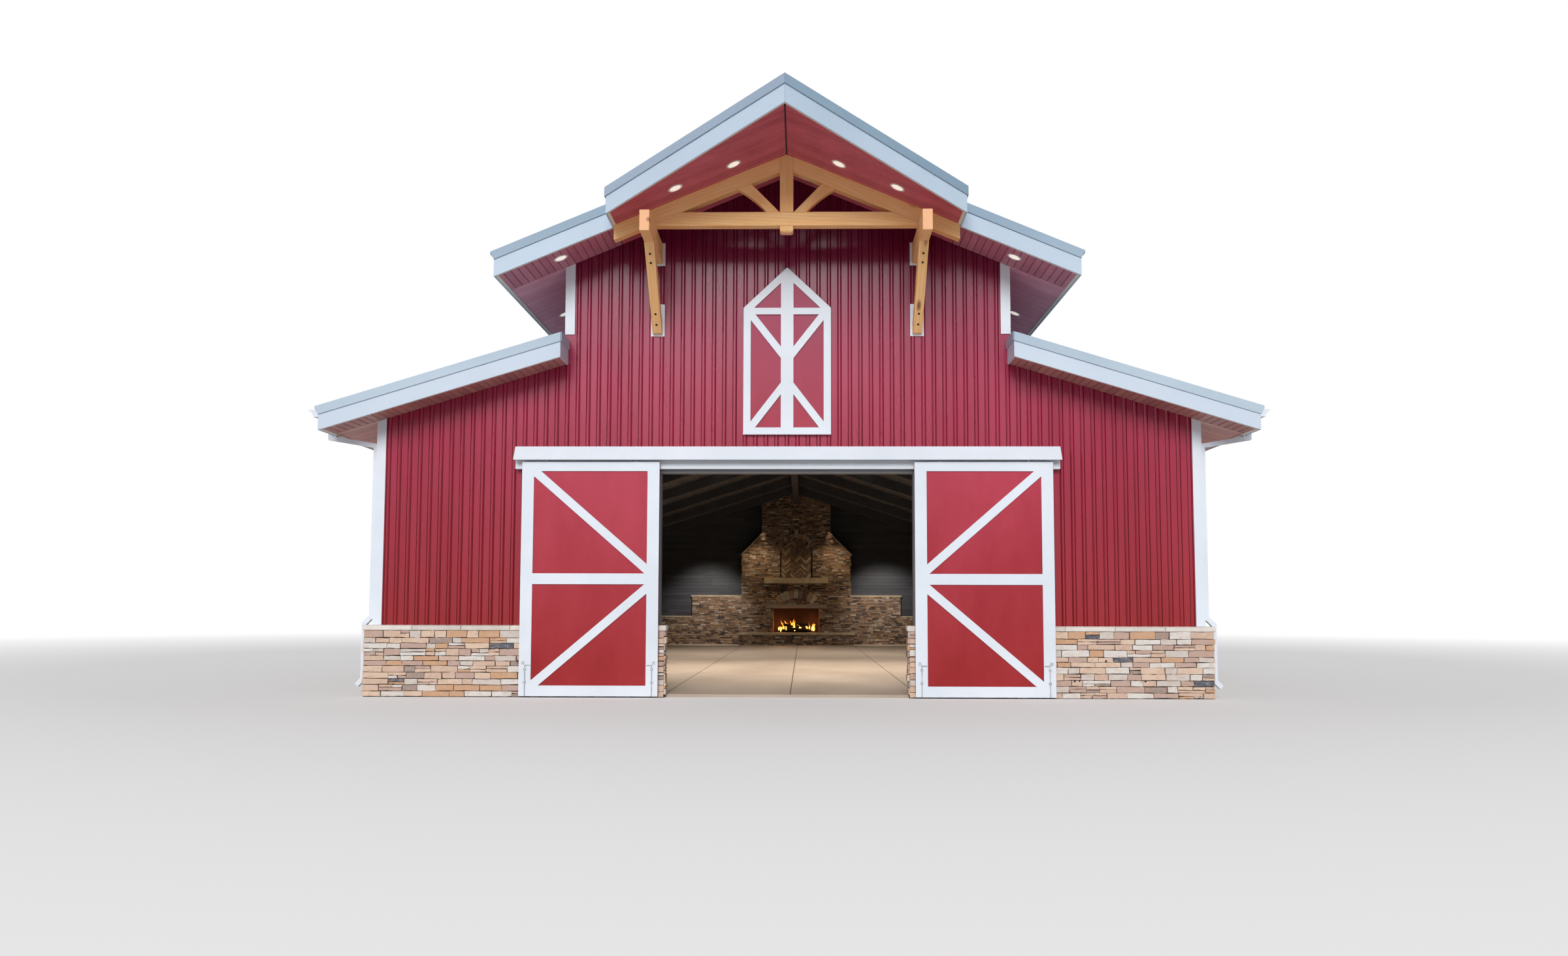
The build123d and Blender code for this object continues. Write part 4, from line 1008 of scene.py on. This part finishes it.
def buildTimbers():
    rng = random.Random(53)
    for node, ownTone in timber.tones.items():
        bm = easedCopy(node, timber.bevel)
        grainAlong(bm, rng, ownTone)
        finishPiece(node + "_timber", bm, [firTimber, firEnd], "honey_timber", replaced=[node])

    # Round plugs over the screws that hold each brace
    plugs = startMesh()
    foot, top = (corner.z for corner in base["knee_braces"])
    topPoint = Vector((0, front - timber.topReach, top))
    down = Vector((0, front - timber.padReach, foot)) - topPoint
    for way in ways:
        for share in timber.plugShares:
            place = topPoint + down * share + Vector((way * timber.braceX, 0, 0))
            addDisc(plugs, place, (0, down.z, -down.y), timber.plug, 2 * timber.plugDepth,
                    -timber.plugDepth, -down, 16, 0.9)
    finishPiece("brace_plugs", plugs, [plugWood], "honey_timber")


buildTimbers()
print("timbers finished")


# Round lights in the soffits and lamps in the hall

lights = Settings(
    rakes=((0.88, 1.65), (1.85, 1.65), (3.96, 0.60)), eave=4.5, eaveStart=2.55, bay=3.658, bays=8,
    lens=0.100, lensDepth=0.003, seat=0.008)
hall = Settings(
    ceiling=6.28, slope=0.324, board=0.14, boardDepth=0.012, boardBevel=0.003, gap=0.004,
    beam=0.14, ridgeBeam=0.11, rearLow=0.06, rearTop=0.45, frontTop=0.3, wingGap=0.04,
    lamp=0.075, rim=0.016, lampPlaces=((2.2, 5.3), (2.2, 9.85), (2.2, 14.4), (2.2, 18.95),
                                       (2.2, 23.5), (4.25, 9.85), (4.25, 18.65)))


def ceilingAt(x):
    return hall.ceiling - hall.slope * abs(x)


def ceilingHalf(z):
    # How far the ceiling reaches on both sides at a height
    return (hall.ceiling - z) / hall.slope


def buildLights():
    lenses, rims, hallLenses = startMesh(), startMesh(), startMesh()
    places = [(x, front - reach) for x, reach in lights.rakes]
    places += [(lights.eave, front + lights.eaveStart + i * lights.bay)
               for i in range(lights.bays)]
    for x, y in places:
        for way in ways:
            under = upperTop(x) - roof.upperDepth - roof.soffit
            addDisc(lenses, (way * x, y, under), (-way * roof.upperSlope, 0, -1), lights.lens,
                    lights.lensDepth, lights.seat)
    for x, reach in hall.lampPlaces:
        for way in ways:
            place, outward = (way * x, front + reach, ceilingAt(x)), (-way * hall.slope, 0, -1)
            addDisc(rims, place, outward, hall.lamp * 1.3, hall.rim)
            addDisc(hallLenses, place, outward, hall.lamp, 0.004, hall.rim - 0.001)
    finishPiece("soffit_lenses", lenses, [lampLens], "lamp_white")
    finishPiece("hall_lamp_rims", rims, [lampPlate], "lamp_white")
    finishPiece("hall_lamp_lenses", hallLenses, [hallLamp], "lamp_white")


buildLights()
print("lights placed")


# The hall: floor panels, boards on its walls and ceiling

slabs = Settings(
    across=(-4.6, -2.14, 0.06, 2.30, 4.6), joint=0.018, height=0.002, sealant=0.0008, bevel=0.0015)


def buildFloor():
    panels, joints = startMesh(), startMesh()
    xs = [-roomHalf, *slabs.across, roomHalf]
    ys = [front + i * lights.bay for i in range(lights.bays)] + [roomBack]
    half = slabs.joint / 2
    for x0, x1 in zip(xs, xs[1:]):
        for y0, y1 in zip(ys, ys[1:]):
            addPrism(panels, rectangle(x0 + half, x1 - half, y0 + half, y1 - half), 0.0,
                     slabs.height)
    bevelFront(panels, slabs.bevel)
    strokes = [(x - half, x + half, front + half, roomBack - half) for x in xs[1:-1]]
    strokes += [(half - roomHalf, roomHalf - half, y - half, y + half) for y in ys[1:-1]]
    for stroke in strokes:
        addPrism(joints, rectangle(*stroke), 0.0, slabs.sealant)
    for name, bm, material in (("floor_panels", panels, floorConcrete),
                               ("floor_joints", joints, floorJoint)):
        bm.transform(Matrix.Translation((0, 0, floorTop)))
        finishPiece(name, bm, [material], "concrete_floor")


def layBoards(target, seed, matrix, bottom, top, spansAt, shortest=1.6, longest=3.8, least=0.4):
    # Courses of boards whose ends follow a sloping edge
    rng = random.Random(seed)
    bm = startMesh()
    gap = hall.gap / 2
    for low, high in strips(bottom, top, hall.board, hall.gap):
        lowSpans, highSpans = spansAt(low), spansAt(high)
        if len(lowSpans) != len(highSpans):
            lowSpans = highSpans = spansAt((low + high) / 2)
        for lowSpan, highSpan in zip(lowSpans, highSpans):
            left, right = zip(lowSpan, highSpan)
            cuts = [max(left) + rng.uniform(least, longest)]
            while cuts[-1] + shortest < min(right):
                cuts.append(cuts[-1] + rng.uniform(shortest, longest))
            cuts = [c for c in cuts if c < min(right) - least]
            lefts = [left] + [(c + gap, c + gap) for c in cuts]
            rights = [(c - gap, c - gap) for c in cuts] + [right]
            for (a0, a1), (b0, b1) in zip(lefts, rights):
                addPrism(bm, [(a0, low), (b0, low), (b1, high), (a1, high)], 0.0,
                         hall.boardDepth * rng.uniform(0.8, 1.0), rng.random())
    bevelFront(bm, hall.boardBevel)
    stand(target, bm, matrix)


def buildHallBoards():
    walls, ceiling = startMesh(), startMesh()

    def rearSpans(z):
        half = min(roomHalf, ceilingHalf(z))
        inner = hearth.wingX + hall.wingGap if z < hearth.wingHigh else breastHalf(z)
        return [(-half, -inner), (inner, half)] if half - inner > 0.1 else []

    def frontSpans(z):
        half = min(roomHalf, ceilingHalf(z))
        beside = z < base["door_header"][0].z
        return [(-half, -frameHalf), (frameHalf, half)] if beside else [(-half, half)]

    layBoards(walls, 61, onEnd(roomBack, -1), hearth.wingLow + hall.rearLow,
              hall.ceiling - hall.rearTop, rearSpans)
    for way in ways:
        layBoards(walls, 63 + way, onSide(way * roomHalf, -way), floorTop, ceilingAt(roomHalf),
                  lambda z: [ends(-way, roomFront, roomBack)])
    layBoards(walls, 67, onEnd(roomFront, 1), floorTop, hall.ceiling - hall.frontTop,
              frontSpans)
    finishPiece("hall_wall_boards", walls, [wallBoard], "dark_boards")

    lean = math.hypot(1, hall.slope)
    for way in ways:
        slope = frameAt((0, 0, hall.ceiling), (-way * hall.slope, 0, -1), (-way, 0, hall.slope))
        for i in range(lights.bays):
            y0 = max(roomFront, front + i * lights.bay + hall.beam / 2)
            y1 = min(roomBack, front + (i + 1) * lights.bay - hall.beam / 2)
            layBoards(ceiling, 71 + 10 * i + way, slope, -roomHalf * lean,
                      -hall.ridgeBeam * lean, lambda z: [ends(-way, y0, y1)], 2.0, 5.0)
    finishPiece("hall_ceiling_boards", ceiling, [darkBoard], "dark_boards")


# Fireplace

hearth = Settings(
    front=13.522, half=2.2, shoulder=3.69, breastHalf=1.4, breastShoulder=4.5, fireHalf=0.93,
    fireTop=1.53, fireDepth=0.60, top=0.55, slab=0.095, slabHalf=2.3, reach=0.52, nicheHalf=0.655,
    nicheBottom=2.755, spring=3.735, nicheDepth=0.07, mantelLow=2.535, mantelHalf=1.295,
    lintelTop=1.69, lintelHalf=1.25, archCentre=0.9, archInner=1.02, archOuter=1.39, archTurn=40,
    archKey=2.33, ring=0.20, keyTop=4.73, keyHalf=0.16, wingX=4.3, wingHigh=2.0, wingLow=1.15,
    wingDepth=0.10, joint=0.004, sunk=0.01)
# The cuts in the hall's stones and their size
hallStones = (1, 0.64)
brick = Settings(
    length=0.30, width=0.066, joint=0.008, proud=(0.010, 0.018), bevel=0.003, fireLength=0.22,
    fireJoint=0.006, fireProud=0.008, fireBevel=0.002)


def breastHalf(z):
    if z < hearth.shoulder:
        return hearth.half
    if z < hearth.breastShoulder:
        share = (z - hearth.shoulder) / (hearth.breastShoulder - hearth.shoulder)
        return hearth.half + (hearth.breastHalf - hearth.half) * share
    return max(0.0, min(hearth.breastHalf, ceilingHalf(z)))


def breastHole(z):
    # The inner and outer half of the hole at a height: the firebox, its lintel and relieving
    # arch, the mantel, and the arched niche with its keystone
    if z < hearth.fireTop:
        return 0.0, hearth.fireHalf
    if z < hearth.lintelTop:
        return 0.0, hearth.lintelHalf
    rise, above = z - hearth.archCentre, z - hearth.spring
    if rise < hearth.archOuter:
        outer = min(math.sqrt(hearth.archOuter ** 2 - rise ** 2),
                    rise * math.tan(math.radians(hearth.archTurn)))
        inner = math.sqrt(max(0.0, hearth.archInner ** 2 - rise ** 2))
        return (inner, outer) if outer > inner else (0.0, 0.0)
    if z < hearth.mantelLow:
        return 0.0, 0.0
    if z < hearth.nicheBottom:
        return 0.0, hearth.mantelHalf
    if above < 0:
        return 0.0, hearth.nicheHalf
    width = math.sqrt(max(0.0, (hearth.nicheHalf + hearth.ring) ** 2 - above ** 2))
    return 0.0, max(width, hearth.keyHalf) if z < hearth.keyTop else width


def breastSpans(z):
    half, (inner, outer) = breastHalf(z), breastHole(z)
    spans = [(-half, -outer), (-inner, inner), (outer, half)] if outer else [(-half, half)]
    return [(a, b) for a, b in spans if b - a > 0.03]


def layArch(bm, rng, centre, inner, outer, turn, count, keyTop):
    # Wedge stones about a centre, with a taller keystone in the middle
    step = 2 * math.radians(turn) / count
    gap = hearth.joint / inner
    for i in range(count):
        isKey = i == count // 2
        far = keyTop - centre if isKey else outer + rng.uniform(-0.025, 0.015)
        start = (i - count / 2) * step + gap
        end = start + step - 2 * gap
        corners = [(r * math.sin(a), centre + r * math.cos(a))
                   for r, a in ((inner, start), (inner, end), (far, end), (far, start))]
        addPrism(bm, corners, -hearth.sunk, 0.045 if isKey else rng.uniform(0.024, 0.036),
                 0.9 if isKey else rng.random())


def buildFireplaceStones():
    stones, arches, wings = startMesh(), startMesh(), startMesh()
    facing = onEnd(hearth.front, -1)
    heights = (hearth.top, hearth.fireTop, hearth.lintelTop, hearth.mantelLow,
               hearth.nicheBottom, hearth.spring, hearth.breastShoulder, hall.ceiling - 0.1)
    for number, (low, high) in enumerate(zip(heights, heights[1:])):
        stoneWall(stones, 80 + number, facing, low, high, breastSpans, *hallStones)
    rng = random.Random(91)
    layArch(arches, rng, hearth.archCentre, hearth.archInner, hearth.archOuter, hearth.archTurn,
            9, hearth.archKey)
    layArch(arches, rng, hearth.spring, hearth.nicheHalf, hearth.nicheHalf + hearth.ring, 90, 15,
            hearth.keyTop)
    joint, half = hearth.joint, hearth.lintelHalf - hearth.joint
    addPrism(arches, rectangle(-half, half, hearth.fireTop + joint, hearth.lintelTop - joint),
             -hearth.sunk, 0.035, 0.85)
    roughen(rng, arches, 2)
    stand(stones, arches, facing)
    slabHalf, slabLow = hearth.slabHalf, hearth.top - hearth.slab
    lip, rear = hearth.front - hearth.reach, roomBack - hearth.wingDepth
    stoneWall(stones, 95, onEnd(lip, -1), floorTop, slabLow, lambda z: [(-slabHalf, slabHalf)],
              *hallStones)
    for way in ways:
        for seed, x, top, near, far in ((97, slabHalf, slabLow, lip, hearth.front),
                                        (101, hearth.half, hearth.shoulder, hearth.front, rear)):
            stoneWall(stones, seed + way, onSide(way * x, way), floorTop, top,
                      lambda z: [ends(way, near, far)], *hallStones)
    finishPiece("fireplace_stones", stones, [hallStone], "ledge_stone")
    for low, high, far in ((floorTop, hearth.wingLow, roomHalf),
                           (hearth.wingLow, hearth.wingHigh, hearth.wingX)):
        stoneWall(wings, 111 + int(10 * low), onEnd(rear, -1), low, high,
                  lambda z: [(-far, -hearth.half), (hearth.half, far)], *hallStones)
    finishPiece("wing_ledge_stones", wings, [hallStone], "ledge_stone")


def buildHerringbone():
    # Bricks in herringbone at the back of the niche; their cut ends run into its sides
    rng = random.Random(121)
    bm = startMesh()
    length, width, turn = brick.length, brick.width, math.radians(45)
    middle = Vector((0, (hearth.nicheBottom + hearth.spring + hearth.nicheHalf) / 2))
    bed = rectangle((brick.joint - length) / 2, (length - brick.joint) / 2,
                    (brick.joint - width) / 2, (width - brick.joint) / 2)
    for i in range(-40, 41):
        for j in range(-8, 9):
            corner = Vector((i * width + j * (length + width), i * width + j * (width - length)))
            for offset, angle in (((length / 2, width / 2), turn),
                                  ((length + width / 2, width - length / 2), turn + math.pi / 2)):
                spot = corner + Vector(offset)
                spot = Vector((spot.x - spot.y, spot.x + spot.y)) * math.cos(turn) + middle
                up = max(0.0, spot.y - hearth.spring)
                if (math.hypot(spot.x, up) < hearth.nicheHalf + 0.05
                        and spot.y > hearth.nicheBottom - 0.05):
                    cos, sin = math.cos(angle), math.sin(angle)
                    addPrism(bm, [(spot.x + u * cos - v * sin, spot.y + u * sin + v * cos)
                                  for u, v in bed], 0.0, rng.uniform(*brick.proud), rng.random())
    bevelFront(bm, brick.bevel)
    bm.transform(onEnd(hearth.front + hearth.nicheDepth, -1))
    finishPiece("niche_bricks", bm, [hearthBrick], "ledge_stone")


def layBricks(target, rng, matrix, left, right):
    # Courses in the firebox, every second one starting with half a brick
    bm = startMesh()
    gap = brick.fireJoint / 2
    courses = strips(hearth.top, hearth.fireTop, brick.width, brick.fireJoint)
    for row, (low, high) in enumerate(courses):
        a, share = left, 0.5 if row % 2 else 1
        while a < right - 0.02:
            b = min(right, a + brick.fireLength * share)
            addPrism(bm, rectangle(a + gap, b - gap, low, high), 0.0, brick.fireProud,
                     rng.random())
            a, share = b, 1
    bevelFront(bm, brick.fireBevel)
    stand(target, bm, matrix)


def addFlame(bm, rng, x, y, foot, height, width):
    # A tongue of fire from a sphere, drawn out to a point and swayed
    verts = bmesh.ops.create_uvsphere(bm, u_segments=10, v_segments=10, radius=1)["verts"]
    lean, phase = rng.uniform(-0.3, 0.3), rng.uniform(0, 6)
    for vert in verts:
        share = (vert.co.z + 1) / 2
        taper = width * (1 - share) ** 0.55
        sway = lean * height * share ** 2 + 0.03 * math.sin(7 * share + phase) * share
        vert.co = Vector(
            (x + vert.co.x * taper + sway, y + vert.co.y * taper * 0.6, foot + share * height))


def addLog(target, rng, middle, length, radius, turn, tilt):
    # A branch from a cylinder with an uneven bark
    bm = startMesh()
    bmesh.ops.create_cone(
        bm, cap_ends=True, segments=10, radius1=radius, radius2=radius * rng.uniform(0.75, 0.95),
        depth=length)
    edges = [e for e in bm.edges if abs(e.verts[0].co.z - e.verts[1].co.z) > 0.1]
    bmesh.ops.subdivide_edges(bm, edges=edges, cuts=4)
    for vert in bm.verts:
        vert.co.x *= rng.uniform(0.88, 1.12)
        vert.co.y *= rng.uniform(0.88, 1.12)
    stand(target, bm, Matrix.Translation(middle) @ Matrix.Rotation(turn, 4, "Z")
          @ Matrix.Rotation(math.radians(90) + tilt, 4, "Y"))


# Each branch's place over the hearth, length, radius, turn and tilt, and each tuft's place,
# spread, height and count of flames
branches = (
    ((-0.22, -0.20, 0.26), 0.66, 0.060, 0.35, 0.22), ((0.24, -0.22, 0.28), 0.60, 0.060, -0.3, -0.2),
    ((0.05, -0.26, 0.14), 0.86, 0.058, 0.08, 0.06), ((0.30, -0.20, 0.36), 0.46, 0.052, 0.6, 0.3))
tufts = (
    (-0.66, 0.07, 0.24, 5), (-0.46, 0.09, 0.42, 7), (-0.22, 0.08, 0.34, 5), (-0.08, 0.08, 0.52, 6),
    (0.12, 0.10, 0.26, 4), (0.46, 0.10, 0.30, 6), (0.66, 0.07, 0.32, 5))


def buildFire():
    rng = random.Random(131)
    soot, lining, logs, flames = (startMesh() for _ in range(4))
    rear, middle = hearth.front + hearth.fireDepth, hearth.front + hearth.fireDepth / 2
    layBricks(soot, rng, onEnd(rear, -1), -hearth.fireHalf, hearth.fireHalf)
    for way in ways:
        layBricks(lining, rng, onSide(way * hearth.fireHalf, -way),
                  *ends(-way, hearth.front, rear))
    for (x, y, z), *shape in branches:
        addLog(logs, rng, (x, middle + y, hearth.top + z), *shape)
    for x, spread, height, count in tufts:
        for _ in range(count):
            addFlame(flames, rng, x + rng.uniform(-spread, spread),
                     middle + rng.uniform(-0.24, 0.02), hearth.top + rng.uniform(0.02, 0.10),
                     height * rng.uniform(0.5, 1.0), rng.uniform(0.024, 0.05))
    finishPiece("firebox_back", soot, [sootBrick], "ledge_stone")
    finishPiece("firebox_bricks", lining, [hearthBrick], "ledge_stone")
    finishPiece("fire_branches", logs, [burntLog], "burnt_logs")
    finishPiece("fire_flames", flames, [fireFlame], "burnt_logs", smooth=True)


chimney = Settings(sunk=0.28, cap=0.11, inset=0.06)


def buildChimneyStones():
    near, far = base["chimney"]
    low, high = base["upper_roof_right"][1].z - chimney.sunk, far.z - chimney.cap
    y0, y1, half = near.y + chimney.inset, far.y - chimney.inset, far.x - chimney.inset
    stones = startMesh()
    for seed, matrix, span in ((141, onEnd(y0, -1), (-half, half)),
                               (142, onEnd(y1, 1), (-half, half)),
                               (146, onSide(half, 1), (y0, y1)),
                               (144, onSide(-half, -1), (-y1, -y0))):
        stoneWall(stones, seed, matrix, low, high, lambda z: [span], 1)
    finishPiece("chimney_ledge_stones", stones, [ledgeStone], "ledge_stone")


buildFloor()
buildHallBoards()
buildFireplaceStones()
buildHerringbone()
buildFire()
buildChimneyStones()
print("hall and fireplace built")


# Lamps that light the hall as its own fittings do

hallLight = Settings(
    spot=300, near=620, nearReach=10, spotAngle=118, size=0.12, drop=0.35, colour=(1.0, 0.92, 0.82),
    washColour=(1.0, 0.78, 0.50), wingColour=(1.0, 0.92, 0.84), fire=13,
    fireColour=(1.0, 0.36, 0.10))
# The spots on both sides of the fireplace: name, place, energy, colour, size, aim and angle
fireSpots = (
    ("breast_wash", (1.7, hearth.front - 1.0, 4.15), 50, hallLight.washColour, 0.15,
     (1.35, hearth.front + 0.05, 2.75), 104),
    ("cap_glow", (1.35, hearth.front - 0.1, 4.7), 16, hallLight.washColour, 0.08,
     (1.35, hearth.front + 0.12, 3.0), 44),
    ("wing_wash", (3.5, hearth.front - 1.7, 3.6), 350, hallLight.wingColour, 0.15,
     (3.6, roomBack, 1.0), 84))


def buildHallLight():
    for number, (x, reach) in enumerate(hall.lampPlaces):
        energy = hallLight.near if reach < hallLight.nearReach else hallLight.spot
        place = (x, front + reach, ceilingAt(x) - hallLight.drop)
        addLamps(f"hall_spot_{{}}_{number}", place, energy, hallLight.colour, hallLight.size,
                 (x, front + reach, 0), hallLight.spotAngle)
    for name, *lamp in fireSpots:
        addLamps(name + "_{}", *lamp)
    addLamps("fire_glow_{}", (0.62, hearth.front + 0.16, 0.85), hallLight.fire,
             hallLight.fireColour, hallLight.size)


buildHallLight()
print("hall lamps lit")
